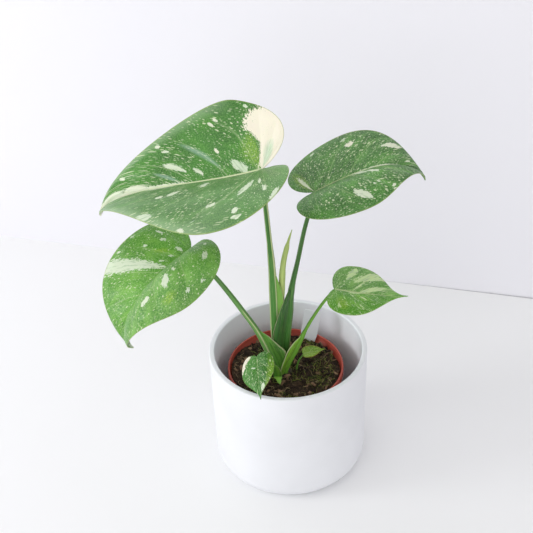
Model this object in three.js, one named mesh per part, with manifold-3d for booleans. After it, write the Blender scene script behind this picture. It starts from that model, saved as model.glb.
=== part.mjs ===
import * as THREE from 'three';
import { mergeVertices } from 'three/addons/utils/BufferGeometryUtils.js';
import Module from 'manifold-3d';

// A young variegated monstera in a plastic nursery pot, which stands inside a white ceramic cover pot.
// Millimetres, +Z up. The origin is the centre of the cover pot's flat underside.
// Seen from the front, +X is to the right and +Y goes away from the viewer.

const gap = 0.3; // air between pieces that touch
const joinTolerance = 1e-3; // points closer than this are one point
const arcSteps = 3; // straight steps in a rounded corner of a profile

const coverPot = {
  height: 142, rimRadius: 80, baseRadius: 78.8, cornerRadius: 19,
  wall: 5.4, floor: 7, rimRounding: 1.6, innerCornerRadius: 14, sides: 56,
};

const nurseryPot = {
  centre: [-2.9, -1.5], height: 112.2, rimRadius: 59, baseRadius: 43, baseChamfer: 2,
  wall: 1.3, collarHeight: 9, collarStep: 2.6, edge: 0.6, floor: 1.6, sides: 48,
  drainHoles: { count: 6, radius: 5, ring: 28, sides: 10 },
};

// The soil lies near the rim but for a hollow at the back, and rises a little to its middle.
// A wave of its surface: turns per millimetre along x and along y in radians, phase, size
const soil = {
  depthBelowRim: 3.4, middleBelowRim: 2.1, shoulder: 12, lump: 1.3, rings: 8,
  hollow: { depth: 5.2, toward: 72, from: 85, to: 30 },
  waves: [[0.23, 0.19, 0.3, 0.5], [0.23, -0.19, 1.3, 0.5], [0.41, -0.33, 2, 0.7]],
};

// Outline: shares of the radius at heights above the bottom
const crown = {
  centre: [-9, -9], radius: 13.5, bottom: 84, top: 119.2, headroom: 20, sides: 18,
  outline: [[0.45, 0], [0.8, 14], [1, 27], [0.93, 33]], knobShare: 0.6, foot: 3,
};

const plantLabel = {
  foot: [22, 43.5, 112], lean: 8, turn: -17, tilt: 7, width: 17.5, footWidth: 14.5, thickness: 0.8,
  height: 38.5, shoulder: 10, corner: 3, pointDepth: 24, pointLength: 9,
};

// Each blade is a pair of half outlines about its midrib, bent and folded in space.
// junction is where the petiole meets the blade, heading and climb give the midrib's direction there,
// bank turns the blade about it, bend and tipBend turn the midrib down along its length, lobeBend turns
// the back lobes, sweep moves the tip sideways. Angles are degrees.
// A half outline: the sinus handle, how far back the lobe's handle lies, the widest point, the handles
// on the way to the tip. fold lifts the half from the midrib, turn rolls it back down at its margin.
const leaves = [
  {
    name: 'leaf_1', junction: [-19, -5, 354], length: 186, heading: 168, climb: -21, bank: -18,
    bend: -30, tipBend: 77, lobeBend: -16, sweep: -10, thickness: 0.9, steps: [24, 5],
    left: {
      sinus: [53, 0], lobe: 84, widest: [38, 80], run: 58, tip: [42, 20], fold: 35, turn: 49,
      wave: [1.2, 3],
    },
    right: {
      sinus: [64.8, 30.2], lobe: 24.7, widest: [22, 69.2], run: 43.6, tip: [33, 12], fold: 33, turn: -11,
      wave: [1.6, 2],
    },
  },
  {
    name: 'leaf_2', junction: [29, 8, 320], length: 116, heading: 3, climb: 27, bank: -4,
    bend: 12, tipBend: 84, lobeBend: -8, sweep: 8.5, thickness: 0.9, steps: [20, 4],
    left: {
      sinus: [36, 13], lobe: 64, widest: [35, 53], run: 51, tip: [34, 4], fold: 25, turn: 12,
      wave: [0.9, 2],
    },
    right: {
      sinus: [34, 5], lobe: 59, widest: [37, 55], run: 50, tip: [27, 8], fold: 20, turn: 59,
      wave: [0.9, 3],
    },
  },
  {
    name: 'leaf_3', junction: [-88, -25, 283], length: 121, heading: 219, climb: -11, bank: 13,
    bend: 29, tipBend: 84, lobeBend: -10, sweep: -12.5, thickness: 0.9, steps: [20, 4],
    left: {
      sinus: [17, 1], lobe: 62, widest: [35, 67], run: 49, tip: [22, 11], fold: 45, turn: 86,
      wave: [1.0, 3],
    },
    right: {
      sinus: [13, 7], lobe: 65, widest: [29, 62], run: 47, tip: [29, 7], fold: 19, turn: 6,
      wave: [1.2, 3],
    },
  },
  {
    name: 'leaf_4', junction: [47, -2, 214], length: 71, heading: -12, climb: -6, bank: 2,
    bend: -9, tipBend: -2, lobeBend: 15, sweep: 1, thickness: 0.8, steps: [16, 3],
    left: {
      sinus: [3, 1], lobe: 34, widest: [20, 32], run: 26, tip: [22, 2], fold: 12, turn: -3,
      wave: [0.6, 3],
    },
    right: {
      sinus: [3, 1], lobe: 36, widest: [19, 33], run: 27, tip: [21, 3], fold: 10, turn: 24,
      wave: [0.6, 2],
    },
  },
  {
    name: 'leaf_5', junction: [-31, -45, 168], length: 42, heading: -90, climb: -27, bank: 34,
    bend: 10, tipBend: 5, lobeBend: 18, sweep: -0.4, thickness: 0.8, steps: [14, 3],
    left: {
      sinus: [4, 0.5], lobe: 21, widest: [12, 19], run: 16, tip: [12, 2], fold: 11, turn: 25,
      wave: [0.4, 2],
    },
    right: {
      sinus: [3, 0.5], lobe: 21, widest: [12, 19], run: 16, tip: [12, 2], fold: 3, turn: 10,
      wave: [0.4, 2],
    },
  },
  {
    name: 'leaf_6', junction: [15.5, -3, 134.5], length: 22.5, heading: 9, climb: 6, bank: 22,
    bend: 0, tipBend: 14, lobeBend: 10, sweep: 0.5, thickness: 0.7, steps: [10, 2],
    left: {
      sinus: [1, 0.5], lobe: 9, widest: [6, 7], run: 8, tip: [6, 1], fold: 32, turn: 20,
      wave: [0.3, 3],
    },
    right: {
      sinus: [1, 0.5], lobe: 9, widest: [6, 7], run: 8, tip: [6, 1], fold: 26, turn: 20,
      wave: [0.3, 3],
    },
  },
];

// A petiole's route goes from the crown to just short of its blade. From there it turns under the blade
// and runs out as the midrib, over the rib share of the blade's length. Its stations give half width and
// half depth: 0 is its foot in the crown, 1 the junction, 2 the midrib's end.
// A sheath is a flap that wraps the stems further in: it leaves the stem between from and to, on the same
// scale, and reaches out to its own free margin, given from the bottom up. bulge is how far it stands
// forward between the two, as a share of its width.
const petioles = [
  {
    name: 'petiole_1', leaf: 'leaf_1', rib: 0.5, sides: 10, steps: 26,
    route: [[-11.5, -6.5, 112], [-11, -7, 142], [-12.4, -8.5, 168], [-12.8, -8.5, 222], [-13.6, -8.5, 254],
      [-17, -7.5, 315]],
    stations: [[0, 3.3, 3], [0.2, 4.4, 3.7], [0.45, 4.3, 3.6], [0.58, 3.5, 3.1], [0.71, 2.6, 2.5],
      [0.93, 2.2, 2.2], [1.02, 2.7, 2.7], [1.15, 1.9, 1.9], [2, 0.7, 0.7]],
    sheath: {
      from: 0.07, to: 0.53, bulge: 0.12,
      margin: [[-6.5, -10, 128], [-6.5, -10.2, 150], [-6.3, -10.6, 172], [-5.8, -11.2, 194],
        [-6.4, -11.8, 216], [-10.4, -10.3, 239]],
    },
  },
  {
    name: 'petiole_2', leaf: 'leaf_2', rib: 0.5, sides: 10, steps: 24,
    route: [[-4, -5, 112], [-3.2, -4.5, 139], [1.4, -3.5, 186], [5, -1.5, 216], [11.3, 1, 246], [22, 5, 294]],
    stations: [[0, 3.3, 3], [0.2, 4.4, 3.6], [0.36, 4.5, 3.6], [0.47, 3.4, 3], [0.56, 2.6, 2.5],
      [0.66, 2.2, 2.2], [0.9, 2, 2], [1.02, 2.6, 2.6], [1.15, 1.8, 1.8], [2, 0.7, 0.7]],
    sheath: {
      from: 0.07, to: 0.49, bulge: 0.3,
      margin: [[-8, -12, 128], [-12.8, -13.5, 147], [-14.9, -14.2, 168], [-11, -14.2, 187], [-5, -12.5, 205],
        [2.6, -4.5, 219]],
    },
  },
  {
    name: 'petiole_3', leaf: 'leaf_3', rib: 0.5, sides: 10, steps: 22,
    route: [[-12.5, -12, 112], [-14.8, -12.5, 128], [-28.4, -15.5, 173], [-41, -17.5, 200],
      [-67, -21, 248.5]],
    stations: [[0, 3, 3], [0.2, 3.3, 3], [0.5, 2.7, 2.7], [0.88, 2.2, 2.2],
      [1.02, 2.6, 2.6], [1.15, 1.8, 1.8], [2, 0.7, 0.7]],
    sheath: {
      from: 0.04, to: 0.37, bulge: 0.2,
      margin: [[-7, -14, 117], [-4.5, -15, 132], [-2.4, -16, 149], [-9.6, -16.5, 159], [-17.3, -17, 169],
        [-27.5, -16, 178]],
    },
  },
  {
    name: 'petiole_4', leaf: 'leaf_4', rib: 0.45, sides: 10, steps: 20,
    route: [[-5.5, -12, 112], [-1.9, -12, 126.5], [7.1, -10.5, 146], [22.3, -7, 178.5], [40.3, -4, 206.4]],
    stations: [[0, 3, 3], [0.3, 3, 2.8], [0.45, 2.6, 2.5], [0.57, 1.7, 1.7], [0.88, 1.5, 1.5],
      [1.02, 1.9, 1.9], [1.15, 1.2, 1.2], [2, 0.5, 0.5]],
    sheath: {
      from: 0.02, to: 0.47, bulge: 0.15,
      margin: [[-9.5, -17, 114], [-8.5, -17.6, 126], [-5.2, -17.8, 138], [-1.1, -17, 150], [5, -14.5, 158.5],
        [13.6, -9.5, 164]],
    },
  },
  {
    name: 'petiole_5', leaf: 'leaf_5', rib: 0.4, sides: 8, steps: 16,
    route: [[-13, -17.5, 112], [-14.5, -19.5, 127], [-19.5, -27.5, 146], [-27, -39, 161]],
    stations: [[0, 2.2, 2], [0.3, 2.2, 2], [0.65, 1.3, 1.3], [0.9, 1.2, 1.2],
      [1.02, 1.4, 1.4], [2, 0.5, 0.5]],
    sheath: {
      from: 0.03, to: 0.45, bulge: 0.1,
      margin: [[-7.5, -19.2, 114], [-7.2, -20.3, 121], [-8, -21, 127], [-10.6, -21.2, 134],
        [-17, -24.5, 142]],
    },
  },
  {
    name: 'petiole_6', leaf: 'leaf_6', rib: 0.4, sides: 8, steps: 10,
    route: [[7, -8, 108], [8, -7, 118], [11, -5, 128]],
    stations: [[0, 1.2, 1.2], [0.6, 1, 1], [1, 0.8, 0.8], [2, 0.4, 0.4]],
  },
];

// The next leaf, still rolled into a spear, and the pointed bract in front of the crown.
const spear = {
  route: [[-6.8, -6.2, 140], [-6, -6.5, 182], [-4.9, -6.8, 219], [-2.3, -6.6, 252.5], [3.5, -4.5, 276],
    [6.8, -3, 286.5]],
  stations: [[0, 1.6, 1.6], [0.3, 1.8, 1.8], [0.53, 3.3, 2.4], [0.65, 3.2, 2.4], [0.72, 2.7, 2.3],
    [0.86, 2.3, 2], [0.93, 1.2, 1.2], [1, 0.4, 0.4]],
  sides: 12, steps: 20, rollStep: 0.16,
};

const bract = {
  route: [[-11.5, -21.5, 112], [-11.7, -22.5, 120], [-10.3, -25.7, 122], [-8.5, -29, 120.6]],
  stations: [[0, 3, 0.9], [0.35, 4, 0.8], [0.7, 2.6, 0.6], [1, 0.5, 0.45]], sides: 8, steps: 9,
};

const sheathPlate = { root: 1.6, margin: 0.9, acrossSteps: 4 };
const ribSlack = 0.35; // room for the facets of the midrib and of the blade's underside
const lengthSamples = 400; // along a petiole's route, to find its junction
const outlineJoin = 0.5; // the outline's share at the widest point
const veinFan = 0.42; // the outline's share up to which the veins leave the junction

const wasm = await Module();
wasm.setup();

const degrees = THREE.MathUtils.degToRad;
const front = new THREE.Vector3(0, -1, 0);

// Geometry helpers

// Signed volume of an indexed triangle mesh
function volumeOf(position, index) {
  const a = new THREE.Vector3();
  const b = new THREE.Vector3();
  const c = new THREE.Vector3();
  let sum = 0;
  for (let i = 0; i < index.length; i += 3) {
    a.fromBufferAttribute(position, index[i]);
    b.fromBufferAttribute(position, index[i + 1]);
    c.fromBufferAttribute(position, index[i + 2]);
    sum += a.dot(b.cross(c)) / 6;
  }
  return sum;
}

// One closed mesh with shared points, no collapsed triangle, and its faces pointing out
function closed(geometry) {
  for (const name of Object.keys(geometry.attributes)) {
    if (name !== 'position') geometry.deleteAttribute(name);
  }
  const merged = mergeVertices(geometry, joinTolerance);
  const old = merged.index.array;
  const kept = [];
  for (let i = 0; i < old.length; i += 3) {
    const [a, b, c] = [old[i], old[i + 1], old[i + 2]];
    if (a !== b && b !== c && c !== a) kept.push(a, b, c);
  }
  if (volumeOf(merged.attributes.position, kept) < 0) kept.reverse();
  merged.setIndex(kept);
  return merged;
}

function toSolid(geometry) {
  return new wasm.Manifold(new wasm.Mesh({
    numProp: 3,
    vertProperties: new Float32Array(geometry.attributes.position.array),
    triVerts: new Uint32Array(geometry.index.array),
  }));
}

function toGeometry(solid) {
  const mesh = solid.getMesh();
  const geometry = new THREE.BufferGeometry();
  geometry.setAttribute('position', new THREE.BufferAttribute(new Float32Array(mesh.vertProperties), 3));
  geometry.setIndex(Array.from(mesh.triVerts));
  return closed(geometry);
}

// A solid cut clear of its grown neighbours. Only its largest body is kept: a cut can leave a loose scrap
function withoutGrown(solid, neighbours) {
  const cut = neighbours.reduce((rest, one) => rest.subtract(one), solid);
  const bodies = cut.decompose();
  bodies.sort((a, b) => b.volume() - a.volume());
  return toGeometry(bodies[0]);
}

function mapPoints(geometry, place) {
  const position = geometry.attributes.position;
  const point = new THREE.Vector3();
  for (let i = 0; i < position.count; i += 1) {
    point.fromBufferAttribute(position, i);
    const moved = place(point.x, point.y, point.z);
    position.setXYZ(i, moved.x, moved.y, moved.z);
  }
  return geometry;
}

// A profile of [radius, height] points turned about the vertical axis through centre
function turned(profile, sides, centre = [0, 0]) {
  const geometry = new THREE.LatheGeometry(profile.map(([r, z]) => new THREE.Vector2(r, z)), sides);
  geometry.rotateX(Math.PI / 2);
  geometry.translate(centre[0], centre[1], 0);
  return closed(geometry);
}

// Pots

function coverPotGeometry() {
  const p = coverPot;
  const innerRim = p.rimRadius - p.wall;
  const innerBase = p.baseRadius - p.wall;
  const round = p.rimRounding;
  const profile = new THREE.Path();
  profile.moveTo(0, 0);
  profile.lineTo(p.baseRadius - p.cornerRadius, 0);
  profile.absarc(p.baseRadius - p.cornerRadius, p.cornerRadius, p.cornerRadius, -Math.PI / 2, 0);
  profile.lineTo(p.rimRadius, p.height - round);
  profile.quadraticCurveTo(p.rimRadius, p.height, p.rimRadius - round, p.height);
  profile.lineTo(innerRim + round, p.height);
  profile.quadraticCurveTo(innerRim, p.height, innerRim, p.height - round);
  profile.lineTo(innerBase, p.floor + p.innerCornerRadius);
  profile.absarc(innerBase - p.innerCornerRadius, p.floor + p.innerCornerRadius, p.innerCornerRadius, 0,
    -Math.PI / 2, true);
  profile.lineTo(0, p.floor);
  return turned(profile.getPoints(arcSteps).map((point) => point.toArray()), p.sides);
}

const nurseryFoot = coverPot.floor + gap;
const nurseryRim = nurseryFoot + nurseryPot.height;

// Inner radius of the nursery pot's tapering wall, below its collar
function nurseryInnerRadius(z) {
  const p = nurseryPot;
  const topRadius = p.rimRadius - p.collarStep;
  const share = (z - nurseryFoot) / (p.height - p.collarHeight);
  return p.baseRadius + (topRadius - p.baseRadius) * share - p.wall;
}

function nurseryPotGeometry() {
  const p = nurseryPot;
  const collar = nurseryRim - p.collarHeight;
  const outer = p.rimRadius - p.collarStep;
  const inner = p.rimRadius - p.wall - p.edge;
  const points = [
    [0, nurseryFoot], [p.baseRadius - p.baseChamfer, nurseryFoot],
    [p.baseRadius, nurseryFoot + p.baseChamfer],
    [outer, collar], [p.rimRadius - p.edge, collar + p.edge], [p.rimRadius, nurseryRim - p.edge],
    [p.rimRadius - p.edge, nurseryRim], [p.rimRadius - p.wall, nurseryRim],
    [inner, nurseryRim - p.edge], [inner, collar + p.wall + p.edge], [outer - p.wall, collar + p.wall],
    [nurseryInnerRadius(nurseryFoot + p.floor), nurseryFoot + p.floor], [0, nurseryFoot + p.floor],
  ];
  let solid = toSolid(turned(points, p.sides, p.centre));
  const holes = p.drainHoles;
  for (let i = 0; i < holes.count; i += 1) {
    const angle = (i * 2 * Math.PI) / holes.count;
    const hole = new THREE.CylinderGeometry(holes.radius, holes.radius, 3 * p.floor, holes.sides);
    hole.rotateX(Math.PI / 2);
    hole.translate(
      p.centre[0] + holes.ring * Math.cos(angle),
      p.centre[1] + holes.ring * Math.sin(angle),
      nurseryFoot + p.floor / 2,
    );
    solid = solid.subtract(toSolid(closed(hole)));
  }
  return toGeometry(solid);
}

// Soil: flat below, mounded towards the crown and lumpy on top

const soilEdge = nurseryRim - soil.depthBelowRim;
const soilRadius = nurseryInnerRadius(nurseryRim - nurseryPot.collarHeight) - gap;

function soilHeight(x, y) {
  const { shoulder, hollow, middleBelowRim, lump } = soil;
  const offset = new THREE.Vector2(x - nurseryPot.centre[0], y - nurseryPot.centre[1]);
  const toward = Math.cos(offset.angle() - degrees(hollow.toward));
  const [low, high] = [hollow.from, hollow.to].map((angle) => Math.cos(degrees(angle)));
  const share = THREE.MathUtils.smoothstep(toward, low, high);
  const inward = THREE.MathUtils.clamp((soilRadius - offset.length()) / shoulder, 0, 1);
  const edge = soilEdge - hollow.depth * share;
  const base = THREE.MathUtils.lerp(edge, nurseryRim - middleBelowRim, Math.sin(inward * Math.PI / 2));
  return base + soil.waves.reduce(
    (sum, [a, b, phase, size]) => sum + lump * inward * size * Math.sin(a * x + b * y + phase), 0);
}

function soilGeometry() {
  const bottom = nurseryFoot + nurseryPot.floor + gap;
  const under = nurseryRim - nurseryPot.collarHeight - gap; // where the pot's collar begins
  const points = [[0, bottom], [nurseryInnerRadius(bottom) - gap, bottom], [soilRadius, under]];
  for (let i = 0; i <= soil.rings; i += 1) points.push([soilRadius * (1 - i / soil.rings), soilEdge]);
  const geometry = turned(points, nurseryPot.sides, nurseryPot.centre);
  return mapPoints(geometry, (x, y, z) => new THREE.Vector3(x, y, z < soilEdge - gap ? z : soilHeight(x, y)));
}

// Leaf blades

// Flat half outline of a blade: share 0 is the sinus, 0.5 the widest point, 1 the tip
function outlinePoint(leaf, half, share) {
  const [cx, cy] = half.widest;
  const back = new THREE.CubicBezierCurve(
    new THREE.Vector2(0, 0),
    new THREE.Vector2(-half.sinus[0], half.sinus[1]),
    new THREE.Vector2(cx - half.lobe, cy),
    new THREE.Vector2(cx, cy),
  );
  const ahead = new THREE.CubicBezierCurve(
    new THREE.Vector2(cx, cy),
    new THREE.Vector2(cx + half.run, cy),
    new THREE.Vector2(leaf.length - half.tip[0], half.tip[1]),
    new THREE.Vector2(leaf.length, 0),
  );
  if (share < outlineJoin) return back.getPoint(share / outlineJoin);
  return ahead.getPoint((share - outlineJoin) / (1 - outlineJoin));
}

// Where the vein to that outline point leaves the midrib: the first ones all leave the junction
function veinFoot(leaf, share) {
  const along = Math.max(0, (share - veinFan) / (1 - veinFan));
  return leaf.length * Math.pow(along, 1.2);
}

// Midrib point and slope in the blade's own frame, x along the blade and z up from it
function midribAt(leaf, along) {
  const share = along / leaf.length;
  const slopeAt = (u) => degrees(u > 0 ? leaf.bend * u + leaf.tipBend * u * u * u : leaf.lobeBend * u);
  const count = 24;
  let x = 0;
  let z = 0;
  for (let i = 0; i < count; i += 1) {
    const slope = slopeAt(((i + 0.5) / count) * share);
    x += (Math.cos(slope) * along) / count;
    z -= (Math.sin(slope) * along) / count;
  }
  const drift = share > 0 ? leaf.sweep * share * share : 0;
  return { x, y: drift, z, slope: slopeAt(share) };
}

// Point of the bent blade from its flat place, offset along its upward normal
function bladePoint(leaf, side, along, across, offset) {
  const half = side > 0 ? leaf.left : leaf.right;
  const rib = midribAt(leaf, along);
  const rate = (degrees(half.turn) / (0.45 * leaf.length)) || 1e-6;
  const fold = degrees(half.fold);
  const end = fold - rate * across;
  const level = (Math.sin(fold) - Math.sin(end)) / rate;
  const lift = (Math.cos(end) - Math.cos(fold)) / rate;
  const tilt = Math.abs(across) < 1e-6 ? 0 : end;
  const y = side * (level - offset * Math.sin(tilt));
  const h = lift + offset * Math.cos(tilt);
  return new THREE.Vector3(
    rib.x + Math.sin(rib.slope) * h,
    rib.y + y,
    rib.z + Math.cos(rib.slope) * h,
  );
}

function bladeGeometry(leaf) {
  const [lengthSteps, widthSteps] = leaf.steps;
  const box = new THREE.BoxGeometry(2, 1, leaf.thickness, 2 * widthSteps, lengthSteps, 1);
  mapPoints(box, (x, y, z) => {
    const side = x < 0 ? -1 : 1;
    const half = side > 0 ? leaf.left : leaf.right;
    const share = y + 0.5;
    const reach = Math.abs(x);
    const edge = outlinePoint(leaf, half, share);
    const foot = veinFoot(leaf, share);
    const along = foot + (edge.x - foot) * reach;
    const point = bladePoint(leaf, side, along, edge.y * reach, z);
    const [size, count] = half.wave;
    point.z += size * reach * reach * Math.sin(Math.PI * share) * Math.sin(2 * Math.PI * count * share);
    return point;
  });
  return closed(box);
}

function bladeFrame(leaf) {
  const heading = degrees(leaf.heading);
  const climb = degrees(leaf.climb);
  const bank = degrees(leaf.bank);
  const ahead = new THREE.Vector3(
    Math.cos(heading) * Math.cos(climb),
    Math.sin(heading) * Math.cos(climb),
    Math.sin(climb),
  );
  const left = new THREE.Vector3(-Math.sin(heading), Math.cos(heading), 0);
  const up = new THREE.Vector3().crossVectors(ahead, left);
  left.multiplyScalar(Math.cos(bank)).addScaledVector(up, Math.sin(bank));
  up.crossVectors(ahead, left);
  return new THREE.Matrix4().makeBasis(ahead, left, up).setPosition(...leaf.junction);
}

// Stems

function between(stations, share) {
  const last = stations.length - 1;
  let i = 0;
  while (i < last - 1 && share > stations[i + 1][0]) i += 1;
  const [a, b] = [stations[i], stations[i + 1]];
  const t = THREE.MathUtils.smoothstep(share, a[0], b[0]);
  return [a[1] + (b[1] - a[1]) * t, a[2] + (b[2] - a[2]) * t];
}

function routeCurve(route) {
  return new THREE.CatmullRomCurve3(route.map((p) => new THREE.Vector3(...p)), false, 'centripetal');
}

// Half width and half depth at a share of the whole route; stations beyond 1 are on the midrib
function girth(stem, share) {
  if (!stem.junctionShare) return between(stem.stations, share);
  const rest = (share - stem.junctionShare) / (1 - stem.junctionShare);
  return between(stem.stations, rest < 0 ? share / stem.junctionShare : 1 + rest);
}

// Points and directions along a route; the side directions are carried along without twisting
function routeFrames(route, steps) {
  const curve = routeCurve(route);
  const frames = [];
  let forward = front.clone();
  for (let i = 0; i <= steps; i += 1) {
    const along = curve.getTangentAt(i / steps);
    forward = forward.clone().addScaledVector(along, -forward.dot(along)).normalize();
    const right = new THREE.Vector3().crossVectors(along, forward);
    frames.push({ at: curve.getPointAt(i / steps), forward, right });
  }
  return frames;
}

function stemPoint(frame, forward, right) {
  return frame.at.clone().addScaledVector(frame.forward, forward).addScaledVector(frame.right, right);
}

// A closed stem: round in section, its half width and half depth given along it, grown by extra
function stemGeometry(stem, extra = 0) {
  const frames = routeFrames(stem.route, stem.steps);
  const rod = new THREE.CylinderGeometry(1, 1, 1, stem.sides, stem.steps);
  mapPoints(rod, (x, y, z) => {
    const share = y + 0.5;
    const [width, depth] = girth(stem, share);
    const roll = 1 + (stem.rollStep || 0) * ((Math.atan2(z, x) / Math.PI + 3 * share + 2) % 2 - 1);
    const frame = frames[Math.round(share * stem.steps)];
    return stemPoint(frame, x * (depth * roll + extra), z * (width * roll + extra));
  });
  return closed(rod);
}

// A sheath: ruled from the stem's centre line out to its margin, bulged and thickened towards the front
function sheathGeometry(stem, extra = 0) {
  const { from, to, bulge, margin } = stem.sheath;
  const frames = routeFrames(stem.route, stem.steps);
  const edge = routeCurve(margin);
  const first = Math.round(from * stem.junctionShare * stem.steps);
  const last = Math.round(to * stem.junctionShare * stem.steps);
  const flap = new THREE.BoxGeometry(1, 1, 1, sheathPlate.acrossSteps, last - first, 1);
  mapPoints(flap, (x, y, z) => {
    const share = y + 0.5;
    const reach = x + 0.5;
    const root = frames[first + Math.round(share * (last - first))];
    const outward = edge.getPoint(share).sub(root.at);
    const width = outward.length();
    const thickness = THREE.MathUtils.lerp(sheathPlate.root, sheathPlate.margin, reach) + 2 * extra;
    const forward = 4 * bulge * width * reach * (1 - reach) + thickness * z;
    return stemPoint(root, forward, 0).addScaledVector(outward, reach * (1 + extra / width));
  });
  return closed(flap);
}

function stemSolid(stem, extra = 0) {
  const rod = toSolid(stemGeometry(stem, extra));
  return stem.sheath ? rod.add(toSolid(sheathGeometry(stem, extra))) : rod;
}


// The petiole's full route: under the junction and on below the midrib, clear of the blade's underside
function withRib(petiole) {
  const leaf = leaves.find((one) => one.name === petiole.leaf);
  const toWorld = bladeFrame(leaf);
  const under = [0.02, 0.08, 0.2, 0.4, 0.6, 0.8, 1].map((share) => {
    const along = petiole.rib * leaf.length * share;
    const drop = leaf.thickness / 2 + gap + between(petiole.stations, 1 + share)[0] + ribSlack;
    const rib = midribAt(leaf, along);
    const point = new THREE.Vector3(
      rib.x - Math.sin(rib.slope) * drop,
      rib.y,
      rib.z - Math.cos(rib.slope) * drop,
    );
    return point.applyMatrix4(toWorld).toArray();
  });
  const route = [...petiole.route, ...under];
  const lengths = routeCurve(route).getLengths(lengthSamples);
  const junctionIndex = Math.round((lengthSamples * petiole.route.length) / (route.length - 1));
  return { ...petiole, route, junctionShare: lengths[junctionIndex] / lengths[lengthSamples] };
}

// Crown and label

// The crown's outside grown by extra. Carried up by headroom it is the hole that it takes in the soil
function crownGeometry(extra = 0, headroom = 0) {
  const c = crown;
  const rimShare = c.outline[c.outline.length - 1][0];
  const knob = headroom > 0 ? rimShare : c.knobShare;
  return turned([
    [0, c.bottom - c.foot - extra],
    ...c.outline.map(([share, rise]) => [share * c.radius + extra, c.bottom + rise]),
    [knob * c.radius + extra, c.top + headroom],
    [0, c.top + headroom],
  ], c.sides, c.centre);
}

function labelGeometry(extra = 0) {
  const l = plantLabel;
  const foot = l.footWidth / 2 + extra;
  const wide = l.width / 2 + extra;
  const top = l.height + extra;
  const shape = new THREE.Shape();
  shape.moveTo(0, -l.pointDepth - extra);
  shape.lineTo(foot, l.pointLength - l.pointDepth);
  shape.lineTo(foot, 0);
  shape.lineTo(wide, l.shoulder);
  shape.lineTo(wide, top - l.corner);
  shape.quadraticCurveTo(wide, top, wide - l.corner, top);
  shape.lineTo(l.corner - wide, top);
  shape.quadraticCurveTo(-wide, top, -wide, top - l.corner);
  shape.lineTo(-wide, l.shoulder);
  shape.lineTo(-foot, 0);
  shape.lineTo(-foot, l.pointLength - l.pointDepth);
  shape.closePath();
  const depth = l.thickness + 2 * extra;
  const plate = new THREE.ExtrudeGeometry(shape, { depth, bevelEnabled: false, curveSegments: 3 });
  plate.translate(0, 0, -depth / 2);
  plate.rotateZ(-degrees(l.tilt));
  plate.rotateX(Math.PI / 2 - degrees(l.lean));
  plate.rotateZ(degrees(l.turn));
  plate.translate(...l.foot);
  return closed(plate);
}

// Assembly

const finish = {
  glaze: { color: 0xf2f2f0, roughness: 0.45, metalness: 0 },
  plastic: { color: 0xa9503f, roughness: 0.55, metalness: 0 },
  soil: { color: 0x3b2f26, roughness: 0.95, metalness: 0 },
  stem: { color: 0x4f7d35, roughness: 0.5, metalness: 0 },
  blade: { color: 0x4c8a45, roughness: 0.45, metalness: 0 },
  label: { color: 0xf4f4f2, roughness: 0.4, metalness: 0 },
};

const plant = new THREE.Group();

function addPiece(name, geometry, look, matrix) {
  const mesh = new THREE.Mesh(geometry, new THREE.MeshStandardMaterial(look));
  mesh.name = name;
  if (matrix) matrix.decompose(mesh.position, mesh.quaternion, mesh.scale);
  plant.add(mesh);
}

const stems = {
  ...Object.fromEntries(petioles.map((one) => [one.name, withRib(one)])),
  spear,
  bract,
};

// Inner stems come first: each later one is cut clear of those before it, as a sheath wraps them
const inToOut = [
  'petiole_1', 'petiole_2', 'spear', 'petiole_3', 'petiole_4', 'petiole_5', 'petiole_6', 'bract',
];
const grownStems = [];
for (const name of inToOut) {
  addPiece(name, withoutGrown(stemSolid(stems[name]), grownStems), finish.stem);
  grownStems.push(stemSolid(stems[name], gap));
}

for (const leaf of leaves) addPiece(leaf.name, bladeGeometry(leaf), finish.blade, bladeFrame(leaf));

const crownHole = toSolid(crownGeometry(gap, crown.headroom));
const labelSlot = toSolid(labelGeometry(gap));
addPiece('crown', withoutGrown(toSolid(crownGeometry()), grownStems), finish.stem);
addPiece('soil', withoutGrown(toSolid(soilGeometry()), [crownHole, labelSlot, ...grownStems]), finish.soil);
addPiece('nursery_pot', nurseryPotGeometry(), finish.plastic);
addPiece('cover_pot', coverPotGeometry(), finish.glaze);
addPiece('plant_label', labelGeometry(), finish.label);

export default plant;
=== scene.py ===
import bpy
import bmesh
import math
import random
from mathutils import Matrix, Vector, noise


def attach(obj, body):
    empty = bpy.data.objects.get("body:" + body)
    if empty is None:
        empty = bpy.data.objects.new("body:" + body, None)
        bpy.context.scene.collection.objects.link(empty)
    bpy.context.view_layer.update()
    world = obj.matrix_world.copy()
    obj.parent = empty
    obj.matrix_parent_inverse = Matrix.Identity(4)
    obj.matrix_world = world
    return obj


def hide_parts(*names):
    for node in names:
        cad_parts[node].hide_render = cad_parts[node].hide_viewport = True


# A potted variegated monstera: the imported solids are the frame, and this script gives them their looks.
# Values are millimetres and degrees unless a note says otherwise.

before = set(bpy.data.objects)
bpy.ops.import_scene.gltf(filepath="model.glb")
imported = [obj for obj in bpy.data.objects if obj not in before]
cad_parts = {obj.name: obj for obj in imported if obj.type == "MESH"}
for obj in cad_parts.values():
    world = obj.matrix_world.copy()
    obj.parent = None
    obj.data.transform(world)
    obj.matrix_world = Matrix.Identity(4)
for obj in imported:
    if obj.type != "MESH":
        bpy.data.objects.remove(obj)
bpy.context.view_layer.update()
mm = 0.001
weldReach = {"blade": 0.04, "tube": 0.03, "spin": 0.02}  # points closer than this become one
print("frame loaded:", len(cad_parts), "nodes")


# Camera, at the photograph's viewing angle

cameraView = {
    "place": (-18.38, -854.22, 859.88),
    "elevation": 35.83,
    "roll": -2.3,
    "focalPixels": 1100,
    "imagePixels": 533,
    "sensorWidth": 36,
    "nearest": 50,
    "farthest": 20000,
}


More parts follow.
